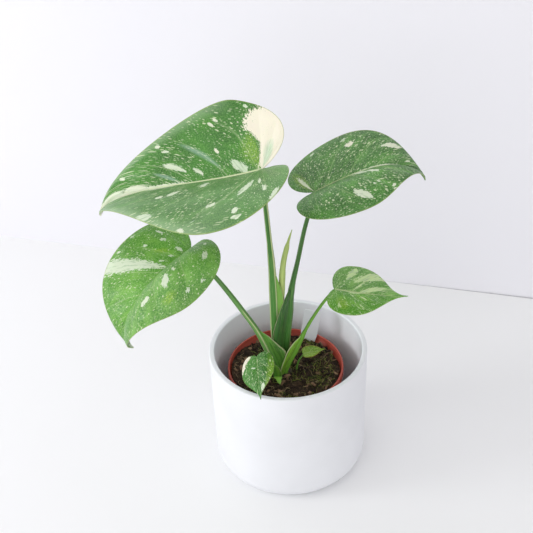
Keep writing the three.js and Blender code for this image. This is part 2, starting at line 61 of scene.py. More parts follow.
def addCamera():
    data = bpy.data.cameras.new("camera")
    data.sensor_width = cameraView["sensorWidth"]
    data.lens = cameraView["sensorWidth"] * cameraView["focalPixels"] / cameraView["imagePixels"]
    data.clip_start = cameraView["nearest"] * mm
    data.clip_end = cameraView["farthest"] * mm
    camera = bpy.data.objects.new("camera", data)
    tilt = Matrix.Rotation(math.radians(90 - cameraView["elevation"]), 4, "X")
    roll = Matrix.Rotation(math.radians(cameraView["roll"]), 4, "Z")
    camera.matrix_world = Matrix.Translation(Vector(cameraView["place"]) * mm) @ tilt @ roll
    bpy.context.scene.collection.objects.link(camera)
    bpy.context.scene.camera = camera


addCamera()
print("camera placed")


# Small helpers

def smoothStep(low, high, value):
    t = min(1, max(0, (value - low) / (high - low)))
    return t * t * (3 - 2 * t)


def mixed(a, b, t):
    return a + (b - a) * t


# Two values between stations of (share, first, second), eased from one to the next
def between(stations, share):
    i = 0
    while i < len(stations) - 2 and share > stations[i + 1][0]:
        i += 1
    a, b = stations[i], stations[i + 1]
    t = smoothStep(a[0], b[0], share)
    return mixed(a[1], b[1], t), mixed(a[2], b[2], t)


def linkMesh(name, bm, materials):
    mesh = bpy.data.meshes.new(name)
    bm.to_mesh(mesh)
    bm.free()
    for material in materials:
        mesh.materials.append(material)
    made = bpy.data.objects.new(name, mesh)
    bpy.context.scene.collection.objects.link(made)
    return made


def addPiece(name, bm, materials, replaced=()):
    piece = linkMesh(name, bm, materials)
    piece.data.polygons.foreach_set("use_smooth", [True] * len(piece.data.polygons))
    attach(piece, "root")
    if replaced:
        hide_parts(*replaced)
    return piece


# Node helpers: an input is a number, a colour or another node's output

def fillInputs(tree, made, inputs):
    for name, value in inputs.items():
        if isinstance(value, bpy.types.NodeSocket):
            tree.links.new(value, made.inputs[name])
        else:
            made.inputs[name].default_value = value


def addNode(tree, kind, inputs=None, **settings):
    made = tree.nodes.new("ShaderNode" + kind)
    for name, value in settings.items():
        setattr(made, name, value)
    fillInputs(tree, made, inputs or {})
    return made


def mathNode(tree, operation, a, b=0.0, c=0.0):
    return addNode(tree, "Math", {0: a, 1: b, 2: c}, operation=operation).outputs[0]


def times(tree, a, b):
    return mathNode(tree, "MULTIPLY", a, b)


def timesPlus(tree, a, factor, added):
    return mathNode(tree, "MULTIPLY_ADD", a, factor, added)


def stepNode(tree, value, low, high):
    inputs = {"Value": value, "From Min": low, "From Max": high}
    return addNode(tree, "MapRange", inputs, interpolation_type="SMOOTHSTEP").outputs["Result"]


def mixNode(tree, factor, a, b):
    return addNode(tree, "Mix", {0: factor, 6: a, 7: b}, data_type="RGBA").outputs[2]


# A tone laid over a colour where a pattern lies past its limits
def blotched(tree, surface, pattern, low, high, strength, tone):
    return mixNode(tree, times(tree, stepNode(tree, pattern, low, high), strength), surface, tone)


def noiseNode(tree, vector, scale, detail=2.0, roughness=0.5):
    inputs = {"Vector": vector, "Scale": scale, "Detail": detail, "Roughness": roughness}
    return addNode(tree, "TexNoise", inputs).outputs["Fac"]


def stretched(tree, vector, scale):
    return addNode(tree, "Mapping", {"Vector": vector, "Scale": scale}).outputs["Vector"]


def grained(tree, vector, scale, detail=2.0, roughness=0.5):
    return noiseNode(tree, stretched(tree, vector, scale), 1.0, detail, roughness)


def newMaterial(name):
    material = bpy.data.materials.new(name)
    material.use_nodes = True
    tree = material.node_tree
    return material, tree, tree.nodes["Principled BSDF"]


# The last step of a material: relief is the bump's height, strength and distance
def finishMaterial(tree, shader, surface, roughness, relief, gloss=0.5, glow=None):
    height, strength, distance = relief
    bump = addNode(tree, "Bump", {"Height": height, "Strength": strength, "Distance": distance})
    fillInputs(tree, shader, {"Base Color": surface, "Roughness": roughness, "Specular IOR Level": gloss,
                              "Normal": bump.outputs["Normal"]})
    if glow:
        fillInputs(tree, shader, {"Subsurface Weight": 0.1, "Subsurface Radius": glow})


def objectPlace(tree):
    return addNode(tree, "TexCoord").outputs["Object"]


def attribute(tree, name, output="Vector"):
    return addNode(tree, "Attribute", attribute_name=name).outputs[output]


def color(hexText):
    channels = [int(hexText[i:i + 2], 16) / 255 for i in (1, 3, 5)]
    return tuple(((c + 0.055) / 1.055) ** 2.4 if c > 0.04045 else c / 12.92 for c in channels) + (1.0,)


# Shader groups shared by several materials

def newGroup(name, inputs, outputs):
    group = bpy.data.node_groups.new(name, "ShaderNodeTree")
    for socketName, kind, value in inputs:
        socket = group.interface.new_socket(name=socketName, in_out="INPUT", socket_type="NodeSocket" + kind)
        if value is not None:
            socket.default_value = value
    for socketName, kind in outputs:
        group.interface.new_socket(name=socketName, in_out="OUTPUT", socket_type="NodeSocket" + kind)
    start = group.nodes.new("NodeGroupInput")
    end = group.nodes.new("NodeGroupOutput")
    return group, start.outputs, end


def placeGroup(tree, group, inputs):
    made = tree.nodes.new("ShaderNodeGroup")
    made.node_tree = group
    fillInputs(tree, made, inputs)
    return made.outputs


# Sizes of the patterns, as scales per metre: along the veins or stem, across them, and beside
patternScales = {
    "crowd": 38, "dashes": (250, 640, 1), "dots": (560, 820, 1), "streaks": (95, 620, 1),
    "broad": 24, "patchy": (60, 120, 1), "grainy": 700, "ragged": (300, 800, 1), "marbling": (130, 620, 1),
    "stemBroad": (420, 420, 9), "stemFine": (1500, 1500, 22),
}


# Pale dots and dashes that follow the veins: Veinwise runs along a vein in X and across the veins in Y
def makeSpeckleGroup():
    group, given, end = newGroup(
        "leafSpeckle",
        [("Veinwise", "Vector", None), ("Dots", "Float", 0.5), ("Streaks", "Float", 0.5)],
        [("Dashes", "Float"), ("Fine", "Float"), ("Streaks", "Float")],
    )
    veinwise = given["Veinwise"]
    crowd = stepNode(group, noiseNode(group, veinwise, patternScales["crowd"], 3), 0.32, 0.66)

    def scattered(scale, wanted, smallest, growth):
        cells = addNode(group, "TexVoronoi", {"Vector": stretched(group, veinwise, scale), "Scale": 1.0},
                        voronoi_dimensions="2D")
        chance = addNode(group, "SeparateColor", {"Color": cells.outputs["Color"]}).outputs["Red"]
        over = mathNode(group, "SUBTRACT", wanted, chance)
        size = timesPlus(group, over, growth, smallest)
        mark = stepNode(group, mathNode(group, "SUBTRACT", size, cells.outputs["Distance"]), -0.05, 0.04)
        return times(group, mark, stepNode(group, over, 0.0, 0.01))

    dash = scattered(patternScales["dashes"], times(group, crowd, given["Dots"]), 0.14, 0.6)
    fine = scattered(patternScales["dots"], times(group, given["Dots"], 0.8), 0.2, 0.5)
    streak = grained(group, veinwise, patternScales["streaks"], 3, 0.55)
    level = timesPlus(group, given["Streaks"], -0.16, 0.83)
    streakMask = stepNode(group, mathNode(group, "SUBTRACT", streak, level), 0.0, 0.035)
    fillInputs(group, end, {"Dashes": dash, "Fine": fine, "Streaks": streakMask})
    return group


# Lengthwise fibres of a stem
def makeFibreGroup():
    group, given, end = newGroup("stemFibres", [("Place", "Vector", None)],
                                 [("Broad", "Float"), ("Fine", "Float"), ("Height", "Float")])
    broad = grained(group, given["Place"], patternScales["stemBroad"])
    fine = grained(group, given["Place"], patternScales["stemFine"])
    fillInputs(group, end, {"Broad": broad, "Fine": fine, "Height": mathNode(group, "ADD", broad, fine)})
    return group


speckleGroup = makeSpeckleGroup()
fibreGroup = makeFibreGroup()


# Materials of the leaves

leafColors = {
    # the grey of the painted sheen on the leaf halves and margins
    "greySheen": color("#a9c29c"),
    "speckle": color("#d6e0b8"),
    "cream": color("#f0e9d4"),
    "pale": color("#cfdec2"),
    "marbled": color("#a9c29b"),
    "yellow": color("#9dbd3c"),
    "sheen": color("#a3bfb2"),
    "underside": color("#88a274"),
    "margin": color("#a3b860"),
}

# The greens of one leaf: in shade, in the middle, its bright parts, and its fine pale flecks
darkGreens = (color("#1f5a10"), color("#36791b"), color("#539829"), color("#7ab256"))
duskyGreens = (color("#154a0e"), color("#2f6f1a"), color("#559b2c"), color("#88bc68"))
lightGreens = (color("#377a16"), color("#539824"), color("#7ab838"), color("#a2cf70"))
youngGreens = (color("#5f8a20"), color("#7a9f2e"), color("#9bb742"), color("#b3c76a"))


def makeLeafMaterial(name, leaf, under=False):
    material, tree, shader = newMaterial(name)
    look = leaf["look"]
    deep, middle, bright, fleck = look["greens"]
    flat = attribute(tree, "leafFlat")
    veinwise = attribute(tree, "leafVein")
    place = addNode(tree, "SeparateXYZ", {"Vector": attribute(tree, "leafPlace")}).outputs
    splash = addNode(tree, "SeparateXYZ", {"Vector": attribute(tree, "splash")}).outputs
    reach = mathNode(tree, "ABSOLUTE", place["X"])
    share = place["Y"]

    broad = noiseNode(tree, flat, patternScales["broad"], 3)
    patchy = grained(tree, veinwise, patternScales["patchy"], 4, 0.6)
    fine = noiseNode(tree, flat, patternScales["grainy"], 2, 0.6)
    green = mixNode(tree, stepNode(tree, broad, 0.3, 0.7), deep, middle)
    green = blotched(tree, green, patchy, 0.42, 0.7, look["bright"], bright)
    grainy = stepNode(tree, fine, 0.42, 0.62)
    green = mixNode(tree, times(tree, grainy, 0.4), green, fleck)
    # painted sheen: a grey tint over one half and along the rolled upper margin stands in for the bright room
    # reflected at grazing angles
    onLeft, onRight = look["greySheen"]
    greySheen = timesPlus(tree, mathNode(tree, "GREATER_THAN", place["X"], 0.0), onLeft - onRight, onRight)
    greySheen = times(tree, greySheen, timesPlus(tree, patchy, 1.6, 0.2))
    rolled = times(tree, stepNode(tree, reach, 0.8, 1.0), stepNode(tree, share, 0.45, 0.6))
    greySheen = timesPlus(tree, rolled, look["marginSheen"], greySheen)
    green = mixNode(tree, greySheen, green, leafColors["greySheen"])

    # lateral veins, and the yellower ground close beside them
    phase = mathNode(tree, "FRACT", place["Z"])
    fromVein = mathNode(tree, "ABSOLUTE", mathNode(tree, "SUBTRACT", phase, 0.5))
    fade = times(tree, stepNode(tree, reach, 0.95, 0.4), look["veinTone"])
    green = blotched(tree, green, fromVein, 0.36, 0.48, times(tree, fade, 0.5), bright)
    green = blotched(tree, green, fromVein, 0.465, 0.495, fade, look["midribColor"])

    # sheen and yellowness come as negative and positive values
    sheen = mathNode(tree, "MAXIMUM", times(tree, splash["Z"], -1), 0)
    green = mixNode(tree, times(tree, sheen, timesPlus(tree, patchy, 0.8, 0.1)), green, leafColors["sheen"])
    yellow = mathNode(tree, "MAXIMUM", splash["Z"], 0)
    yellow = times(tree, yellow, timesPlus(tree, grainy, 0.45, 0.2))
    green = mixNode(tree, yellow, green, leafColors["yellow"])

    given = {"Veinwise": veinwise, "Dots": look["dots"], "Streaks": look["streaks"]}
    speckle = placeGroup(tree, speckleGroup, given)
    surface = mixNode(tree, times(tree, speckle["Fine"], 0.5), green, leafColors["speckle"])
    surface = mixNode(tree, times(tree, speckle["Dashes"], 0.85), surface, leafColors["speckle"])
    surface = mixNode(tree, times(tree, speckle["Streaks"], 0.85), surface, look["pale"])
    if under:
        surface = mixNode(tree, 0.5, surface, leafColors["underside"])

    # splashes with ragged, marbled edges
    ragged = timesPlus(tree, grained(tree, veinwise, patternScales["ragged"], 4, 0.7), 2.8, -1.4)
    field = mathNode(tree, "ADD", splash["X"], ragged)
    marbling = grained(tree, veinwise, patternScales["marbling"], 3)
    splashTone = mixNode(tree, splash["Y"], look["pale"], leafColors["cream"])
    splashTone = blotched(tree, splashTone, marbling, 0.5, 0.68, timesPlus(tree, splash["Y"], -0.85, 0.9),
                          leafColors["marbled"])
    surface = mixNode(tree, stepNode(tree, field, 0.47, 0.53), surface, splashTone)

    # midrib and margin
    midrib = times(tree, stepNode(tree, reach, look["midrib"], look["midrib"] * 0.4),
                   stepNode(tree, share, 0.4, 0.46))
    surface = mixNode(tree, times(tree, midrib, look["midribTone"]), surface, look["midribColor"])
    surface = blotched(tree, surface, reach, look["marginFrom"], 0.998, 0.5, look["marginColor"])

    rough = timesPlus(tree, patchy, 0.2, 0.55 if under else 0.3)
    cells = mathNode(tree, "ADD", fine, times(tree, patchy, 1.5))
    finishMaterial(tree, shader, surface, rough, (cells, 0.3, 0.0004), 0.4, (0.0010, 0.0016, 0.0006))
    return material


# Leaf blades: a pair of half outlines about the midrib, bent and folded in space.

# A half gives the sinus handle, how far back the lobe's handle lies, the widest point, and the handles on the
# way to the tip. fold lifts the half from the midrib, turn rolls it back down at its margin, and wave is the
# height and count of the margin's waves.
def half(sinus, lobe, widest, run, tip, fold, turn, wave):
    return {"sinus": sinus, "lobe": lobe, "widest": widest, "run": run, "tip": tip,
            "fold": fold, "turn": turn, "wave": wave}


commonLook = {
    "greens": darkGreens, "bright": 0.5, "dots": 0.3, "streaks": 0.5, "veinTone": 0.25,
    "midrib": 0.022, "midribTone": 0.85, "midribColor": color("#c9d6a0"),
    "marginColor": leafColors["margin"], "marginFrom": 0.98, "pale": leafColors["pale"],
    "greySheen": (0.15, 0.15), "marginSheen": 0,  # painted sheen: a greyer tint for reflected light on the left and right halves, and on the rolled margin
}

# A splash is (share, reach, half its share, half its reach, slant, tone): share runs from the sinus to the
# tip, and reach from the midrib to the margin. The tone is creaminess from 0 to 1, or names a tint.
leafValues = [
    {
        "name": "leaf_1", "junction": (-19, -5, 354), "length": 186, "heading": 168, "climb": -21,
        "bank": -18, "bend": -30, "tipBend": 77, "lobeBend": -16, "sweep": -10, "thickness": 0.7,
        "grid": (56, 260),
        "veins": 9, "veinLean": 0.16, "puff": 0.9,
        "look": dict(commonLook, streaks=0.7, bright=0.4, midrib=0.027, midribTone=1,
                     midribColor=color("#d6dfb4"), greySheen=(0.21, 0.02), marginSheen=0.4),
        "left": half((53, 0), 84, (38, 80), 58, (42, 20), 35, 49, (1.2, 3)),
        "right": half((64.8, 30.2), 24.7, (22, 69.2), 43.6, (33, 12), 33, -11, (1.6, 2)),
        # the share up to which the right half is cream, at each reach
        "creamSector": [(0, 0.43), (0.08, 0.42), (0.18, 0.375), (0.3, 0.344), (0.42, 0.344), (0.46, 0.375),
                        (0.53, 0.41), (0.6, 0.445), (0.68, 0.44), (0.77, 0.413), (0.87, 0.381),
                        (0.97, 0.325), (1, 0.32)],
        "splashes": {
            "left": [
                (0.763, 0.06, 0.04, 0.08, 0.04, 0.35), (0.434, 0.46, 0.018, 0.13, 0.13, 0.1),
                (0.366, 0.46, 0.011, 0.08, -0.03, 0.2), (0.345, 0.69, 0.01, 0.08, -0.07, 0.2),
                (0.314, 0.96, 0.024, 0.06, 0.13, 0.1), (0.606, 0.19, 0.01, 0.07, 0.04, 0.2),
                (0.706, 0.51, 0.009, 0.05, 0.09, 0.3), (0.675, 0.41, 0.01, 0.07, 0.14, 0.3),
                (0.529, 0.63, 0.011, 0.04, 0.24, 0.3), (0.451, 0.81, 0.009, 0.04, -0.03, 0.2),
                (0.445, 0.9, 0.014, 0.03, -0.11, 0.2), (0.703, 0.94, 0.017, 0.09, 0.13, 0.05),
                (0.586, 0.97, 0.01, 0.03, 0, 0.3), (1, 0.2, 0.05, 0.9, 0, 0.4),
            ],
            "right": [
                (0.509, 0.11, 0.021, 0.12, 0.19, 0.05), (0.706, 0.35, 0.013, 0.15, 0.18, 0.2),
                (0.644, 0.17, 0.008, 0.08, 0.15, 0.3), (0.574, 0.39, 0.006, 0.05, 0.09, 0.7),
                (0.574, 0.75, 0.006, 0.05, 0.11, 0.5), (0.556, 0.79, 0.006, 0.04, 0.15, 0.5),
                (0.725, 0.86, 0.006, 0.05, 0.06, 0.4), (0.712, 0.69, 0.006, 0.05, 0.19, 0.3),
                (0.401, 0.93, 0.014, 0.03, 0, 0.1), (0.903, 0.33, 0.035, 0.39, 0.06, 0.35),
                (0.838, 0.14, 0.037, 0.18, 0.06, 0.5), (0.84, 0.75, 0.006, 0.1, 0.04, 0.4),
                (0.9, 0.04, 0.11, 0.16, 0, 0.55), (0.8, 0.02, 0.12, 0.06, 0, 0.4),
                (1, 0.3, 0.08, 1, 0, 0.5), (0.43, 0.28, 0.05, 0.24, 0, "yellow"),
                (0.2, 0.28, 0.07, 0.3, 0, "veil"), (0.625, 0.42, 0.009, 0.27, 0.18, "sheen"),
                (0.735, 0.2, 0.008, 0.17, 0.17, "sheen"),
            ],
        },
    },
    {
        "name": "leaf_2", "junction": (29, 8, 320), "length": 116, "heading": 3, "climb": 27, "bank": -4,
        "bend": 12, "tipBend": 84, "lobeBend": -8, "sweep": 8.5, "thickness": 0.7, "grid": (42, 190),
        "veins": 8, "veinLean": 0.05, "puff": 0.7,
        "look": dict(commonLook, greens=duskyGreens, bright=0.7, dots=0.36, greySheen=(0.1, 0.06)),
        "left": half((36, 13), 64, (35, 53), 51, (34, 4), 25, 12, (0.9, 2)),
        "right": half((34, 5), 59, (37, 55), 50, (27, 8), 20, 59, (0.9, 3)),
        "splashes": {
            "left": [
                (0.565, 0.69, 0.017, 0.06, -0.02, 0.7), (0.749, 0.81, 0.025, 0.16, 0.22, 0.5),
                (0.27, 0.3, 0.03, 0.4, 0.03, 0.4), (0.26, 0.35, 0.06, 0.5, 0.03, "yellow"),
                (0.79, 0, 0.12, 0.06, 0, 0.4), (0.527, 0.85, 0.007, 0.04, 0.04, 0.2),
                (0.869, 0.52, 0.008, 0.15, 0.03, 0.3), (0.421, 0.89, 0.01, 0.04, -0.05, 0.2),
            ],
            "right": [
                (0.66, 0.12, 0.02, 0.14, 0.1, 0.3), (0.555, 0.73, 0.018, 0.16, 0.06, 0.2),
                (0.695, 0.31, 0.012, 0.15, 0.05, 0.3), (0.676, 0.92, 0.011, 0.03, 0, 0.3),
                (0.669, 0.98, 0.008, 0.03, 0.32, 0.4), (0.646, 0.67, 0.006, 0.04, 0.02, 0.3),
                (0.622, 0.68, 0.006, 0.03, 0, 0.3),
            ],
        },
    },
    {
        "name": "leaf_3", "junction": (-88, -25, 283), "length": 121, "heading": 219, "climb": -11,
        "bank": 13, "bend": 29, "tipBend": 84, "lobeBend": -10, "sweep": -12.5, "thickness": 0.7,
        "grid": (42, 190),
        "veins": 8, "veinLean": 0.03, "puff": 1.0,
        "look": dict(commonLook, greens=lightGreens, bright=0.6, dots=0.26, midrib=0.015, midribTone=0.5,
                     greySheen=(0.1, 0.05)),
        "left": half((17, 1), 62, (35, 67), 49, (22, 11), 45, 86, (1.0, 3)),
        "right": half((13, 7), 65, (29, 62), 47, (29, 7), 19, 6, (1.2, 3)),
        "splashes": {
            "left": [
                (0.404, 0.67, 0.026, 0.06, 0.02, 0.2), (0.303, 0.62, 0.014, 0.07, -0.3, 0.05),
                (0.586, 0.52, 0.015, 0.12, 0.06, 0.1), (0.684, 0.61, 0.017, 0.07, 0.16, 0.2),
                (0.544, 0.42, 0.006, 0.04, -0.04, 0.2), (0.47, 0.88, 0.006, 0.03, -0.14, 0.1),
                (0.525, 0.83, 0.008, 0.03, -0.02, 0.1), (0.596, 0.78, 0.025, 0.07, 0.11, "yellow"),
                (1, 0.3, 0.04, 0.9, 0, 0.1),
            ],
            "right": [
                (0.612, 0.82, 0.032, 0.84, 0.03, 0.15), (0.427, 0.67, 0.006, 0.08, 0.07, 0.2),
                (0.452, 0.48, 0.008, 0.06, 0, 0.1), (0.457, 0.14, 0.011, 0.08, -0.02, 0.1),
                (0.513, 0.13, 0.006, 0.06, 0.06, 0.1), (0.502, 0.62, 0.006, 0.04, 0.03, 0.1),
                (0.558, 0.17, 0.006, 0.04, 0.09, 0.1), (0.483, 0.95, 0.007, 0.03, 0.07, 0.1),
                (0.55, 0.92, 0.006, 0.04, 0, 0.2), (0.502, 0.33, 0.013, 0.12, 0.09, "yellow"),
                (1, 0.3, 0.04, 0.9, 0, 0.1),
            ],
        },
    },
    {
        "name": "leaf_4", "junction": (47, -2, 214), "length": 71, "heading": -12, "climb": -6, "bank": 2,
        "bend": -9, "tipBend": -2, "lobeBend": 15, "sweep": 1, "thickness": 0.6, "grid": (32, 130),
        "veins": 7, "veinLean": 0.1, "puff": 0.5,
        "look": dict(commonLook, greens=lightGreens, bright=0.9, streaks=1.3, dots=0.36, midrib=0.05,
                     midribTone=0.8, greySheen=(0.2, 0), pale=color("#c9dfa2")),
        "left": half((3, 1), 34, (20, 32), 26, (22, 2), 12, -3, (0.6, 3)),
        "right": half((3, 1), 36, (19, 33), 27, (21, 3), 10, 24, (0.6, 2)),
        "splashes": {
            "left": [
                (0.487, 0.68, 0.026, 0.26, 0.02, 0), (0.62, 0.72, 0.05, 0.36, 0.2, 0.05),
                (0.68, 0.8, 0.03, 0.3, 0.24, 0.05), (0.608, 0.29, 0.012, 0.22, 0.07, 0),
                (0.732, 0.3, 0.04, 0.42, 0.2, 0.1),
            ],
            "right": [
                (0.61, 0.06, 0.048, 0.06, -0.3, 0), (0.654, 0.37, 0.012, 0.12, 0.13, 0.1),
                (0.473, 0.61, 0.043, 0.23, 0, "yellow"),
            ],
        },
    },
    {
        "name": "leaf_5", "junction": (-31, -45, 168), "length": 42, "heading": -90, "climb": -27, "bank": 34,
        "bend": 10, "tipBend": 5, "lobeBend": 18, "sweep": -0.4, "thickness": 0.6, "grid": (26, 100),
        "veins": 6, "veinLean": 0.1, "puff": 0.4,
        "look": dict(commonLook, bright=0.25, streaks=0.3, midrib=0.05, midribTone=0.2, greySheen=(0, 0)),
        "left": half((4, 0.5), 21, (12, 19), 16, (12, 2), 11, 25, (0.4, 2)),
        "right": half((3, 0.5), 21, (12, 19), 16, (12, 2), 3, 10, (0.4, 2)),
        "splashes": {
            "left": [
                (0.62, 0.95, 0.2, 0.3, 0.2, "yellow"), (0.827, 0.79, 0.053, 0.27, 0.09, 0.1),
            ],
            "right": [
                (0.37, 0.86, 0.13, 0.32, 0.1, 1), (0.561, 0.26, 0.014, 0.16, -0.22, 0),
            ],
        },
    },
    {
        "name": "leaf_6", "junction": (15.5, -3, 134.5), "length": 22.5, "heading": 9, "climb": 6, "bank": 22,
        "bend": 0, "tipBend": 14, "lobeBend": 10, "sweep": 0.5, "thickness": 0.5, "grid": (18, 64),
        "veins": 5, "veinLean": 0.1, "puff": 0.3,
        "look": dict(commonLook, greens=youngGreens, bright=0.6, dots=0.05, streaks=0, midrib=0.07,
                     veinTone=0.7, greySheen=(0, 0), marginColor=color("#8a4a20"), marginFrom=0.84),
        "left": half((1, 0.5), 9, (6, 7), 8, (6, 1), 32, 20, (0.3, 3)),
        "right": half((1, 0.5), 9, (6, 7), 8, (6, 1), 26, 20, (0.3, 3)),
        "splashes": {},
    },
]

bladeShape = {"veinFan": 0.42, "footPower": 1.2, "midribSteps": 24, "rollShare": 0.45,
              "channelWidth": 1.6, "channelDepth": 0.5, "grooveShare": 0.16, "veinPitch": 1.3}


def bezier(a, b, c, d, t):
    s = 1 - t
    return a * s ** 3 + b * (3 * s * s * t) + c * (3 * s * t * t) + d * t ** 3


def outlinePoint(leaf, given, share):
    widest = Vector(given["widest"])
    if share < 0.5:
        return bezier(Vector((0, 0)), Vector((-given["sinus"][0], given["sinus"][1])),
                      widest - Vector((given["lobe"], 0)), widest, 2 * share)
    return bezier(widest, widest + Vector((given["run"], 0)),
                  Vector((leaf["length"] - given["tip"][0], given["tip"][1])),
                  Vector((leaf["length"], 0)), 2 * share - 1)


def veinFoot(leaf, share):
    fan = bladeShape["veinFan"]
    return leaf["length"] * max(0, (share - fan) / (1 - fan)) ** bladeShape["footPower"]


def midribAt(leaf, along):
    share = along / leaf["length"]

    def slopeAt(u):
        return math.radians(leaf["bend"] * u + leaf["tipBend"] * u ** 3 if u > 0 else leaf["lobeBend"] * u)

    count = bladeShape["midribSteps"]
    x = z = 0
    for i in range(count):
        slope = slopeAt((i + 0.5) / count * share)
        x += math.cos(slope) * along / count
        z -= math.sin(slope) * along / count
    drift = leaf["sweep"] * share * share if share > 0 else 0
    return x, drift, z, slopeAt(share)


def halfOf(leaf, side):
    return leaf["left"] if side > 0 else leaf["right"]


def bladePoint(leaf, side, along, across, offset):
    given = halfOf(leaf, side)
    x, drift, z, slope = midribAt(leaf, along)
    rate = math.radians(given["turn"]) / (bladeShape["rollShare"] * leaf["length"]) or 1e-6
    fold = math.radians(given["fold"])
    end = fold - rate * across
    level = (math.sin(fold) - math.sin(end)) / rate
    lift = (math.cos(end) - math.cos(fold)) / rate
    tilt = 0 if abs(across) < 1e-6 else end
    y = side * (level - offset * math.sin(tilt))
    h = lift + offset * math.cos(tilt)
    return Vector((x + math.sin(slope) * h, drift + y, z + math.cos(slope) * h))


# The share at which the vein through a place leaves the midrib: veins lean forward as they run outward
def veinShare(leaf, share, reach):
    return share - leaf["veinLean"] * smoothStep(0.36, 0.6, share) * reach


# Relief on the upper side: grooves along the veins, soft swellings between them, a channel on the midrib,
# and a margin that rolls down
def bladeRelief(leaf, share, reach, across):
    phase = veinShare(leaf, share, reach) * leaf["veins"]
    fromVein = abs(phase - round(phase))
    spread = smoothStep(0.03, 0.35, reach) * (1 - smoothStep(0.82, 1, reach))
    spread *= mixed(0.3, 1, smoothStep(0.36, 0.5, share))
    swelling = leaf["puff"] * (0.5 - 0.5 * math.cos(2 * math.pi * fromVein)) * spread
    groove = 0.45 * leaf["puff"] * (1 - smoothStep(0, bladeShape["grooveShare"], fromVein)) * spread
    dent = 0.4 * leaf["puff"] * noise.noise(Vector((share * 17, reach * 4, leaf["length"]))) * spread
    channel = bladeShape["channelDepth"] * (1 - smoothStep(0, bladeShape["channelWidth"], across))
    channel *= smoothStep(0.38, 0.48, share) * min(1, leaf["length"] / 100)
    rolled = leaf["puff"] * smoothStep(0.86, 1, reach) * math.sin(math.pi * share)
    return swelling - groove + dent - channel - rolled


def bladeFrame(leaf):
    heading, climb, bank = (math.radians(leaf[key]) for key in ("heading", "climb", "bank"))
    level = math.cos(climb)
    ahead = Vector((math.cos(heading) * level, math.sin(heading) * level, math.sin(climb)))
    left = Vector((-math.sin(heading), math.cos(heading), 0))
    left = left * math.cos(bank) + ahead.cross(left) * math.sin(bank)
    up = ahead.cross(left)
    turn = Matrix((ahead, left, up)).transposed().to_4x4()
    return Matrix.Translation(Vector(leaf["junction"])) @ turn


# How the splashes colour a place: their strength, a half at an edge; how creamy they are; and yellowness.
# A veil is a greener patch inside a cream one, and a sheen a bluish one, kept as negative yellowness
def splashField(leaf, side, share, reach):
    strongest = tone = 0
    tints = {"yellow": 0, "veil": 0, "sheen": 0}
    splashes = leaf["splashes"].get("left" if side > 0 else "right", [])
    for atShare, atReach, halfShare, halfReach, slant, kind in splashes:
        beside = share - atShare - slant * (reach - atReach)
        value = min(1, max(0, 1.5 - abs(beside) / halfShare - ((reach - atReach) / halfReach) ** 2))
        if kind in tints:
            tints[kind] = max(tints[kind], value)
        elif value > strongest:
            strongest, tone = value, kind
    sector = leaf.get("creamSector")
    if sector and side < 0:
        edge = between([(at, limit, 0) for at, limit in sector], reach)[0]
        value = min(1, max(0, 0.5 + 14 * (edge - share)))
        if value > strongest:
            strongest, tone = value, 1
    return strongest, max(0, tone - tints["veil"]), tints["yellow"] - tints["sheen"]


def makeBlade(leaf):
    wide, long = leaf["grid"]
    bm = bmesh.new()
    bmesh.ops.create_grid(bm, x_segments=2 * wide, y_segments=long, size=1)
    placeLayer = bm.verts.layers.float_vector.new("leafPlace")
    flatLayer = bm.verts.layers.float_vector.new("leafFlat")
    veinLayer = bm.verts.layers.float_vector.new("leafVein")
    splashLayer = bm.verts.layers.float_vector.new("splash")
    toWorld = bladeFrame(leaf)
    for vert in bm.verts:
        side = -1 if vert.co.x < 0 else 1
        given = halfOf(leaf, side)
        reach = abs(vert.co.x)
        share = (vert.co.y + 1) / 2
        edge = outlinePoint(leaf, given, share)
        foot = veinFoot(leaf, share)
        along = foot + (edge.x - foot) * reach
        across = edge.y * reach
        point = bladePoint(leaf, side, along, across, bladeRelief(leaf, share, reach, across))
        size, count = given["wave"]
        wave = math.sin(math.pi * share) * math.sin(2 * math.pi * count * share)
        point.z += size * reach * reach * wave
        vert.co = (toWorld @ point) * mm
        leaving = veinShare(leaf, share, reach)
        vert[placeLayer] = (side * reach, share, leaving * leaf["veins"])
        vert[flatLayer] = (along * mm, side * across * mm, 0)
        fromFoot = side * math.hypot(along - foot, across)
        vert[veinLayer] = (fromFoot * mm, bladeShape["veinPitch"] * leaving * leaf["length"] * mm, 0)
        vert[splashLayer] = splashField(leaf, side, share, reach)
    bmesh.ops.remove_doubles(bm, verts=bm.verts, dist=weldReach["blade"] * mm)
    bmesh.ops.recalc_face_normals(bm, faces=bm.faces)
    if sum(face.normal.dot(toWorld.col[2].to_3d()) for face in bm.faces) < 0:
        bmesh.ops.reverse_faces(bm, faces=bm.faces)
    materials = [makeLeafMaterial(leaf["name"] + "_upper", leaf),
                 makeLeafMaterial(leaf["name"] + "_under", leaf, True)]
    piece = addPiece(leaf["name"] + "_blade", bm, materials, [leaf["name"]])
    skin = piece.modifiers.new("thickness", "SOLIDIFY")
    skin.thickness = leaf["thickness"] * mm
    skin.offset = 0
    skin.material_offset = 1
    skin.material_offset_rim = 0


for leaf in leafValues:
    makeBlade(leaf)
print("leaf blades made:", len(leafValues))


# Stems: petioles with their sheaths, the rolled spear and the bract

spanSamples = 24


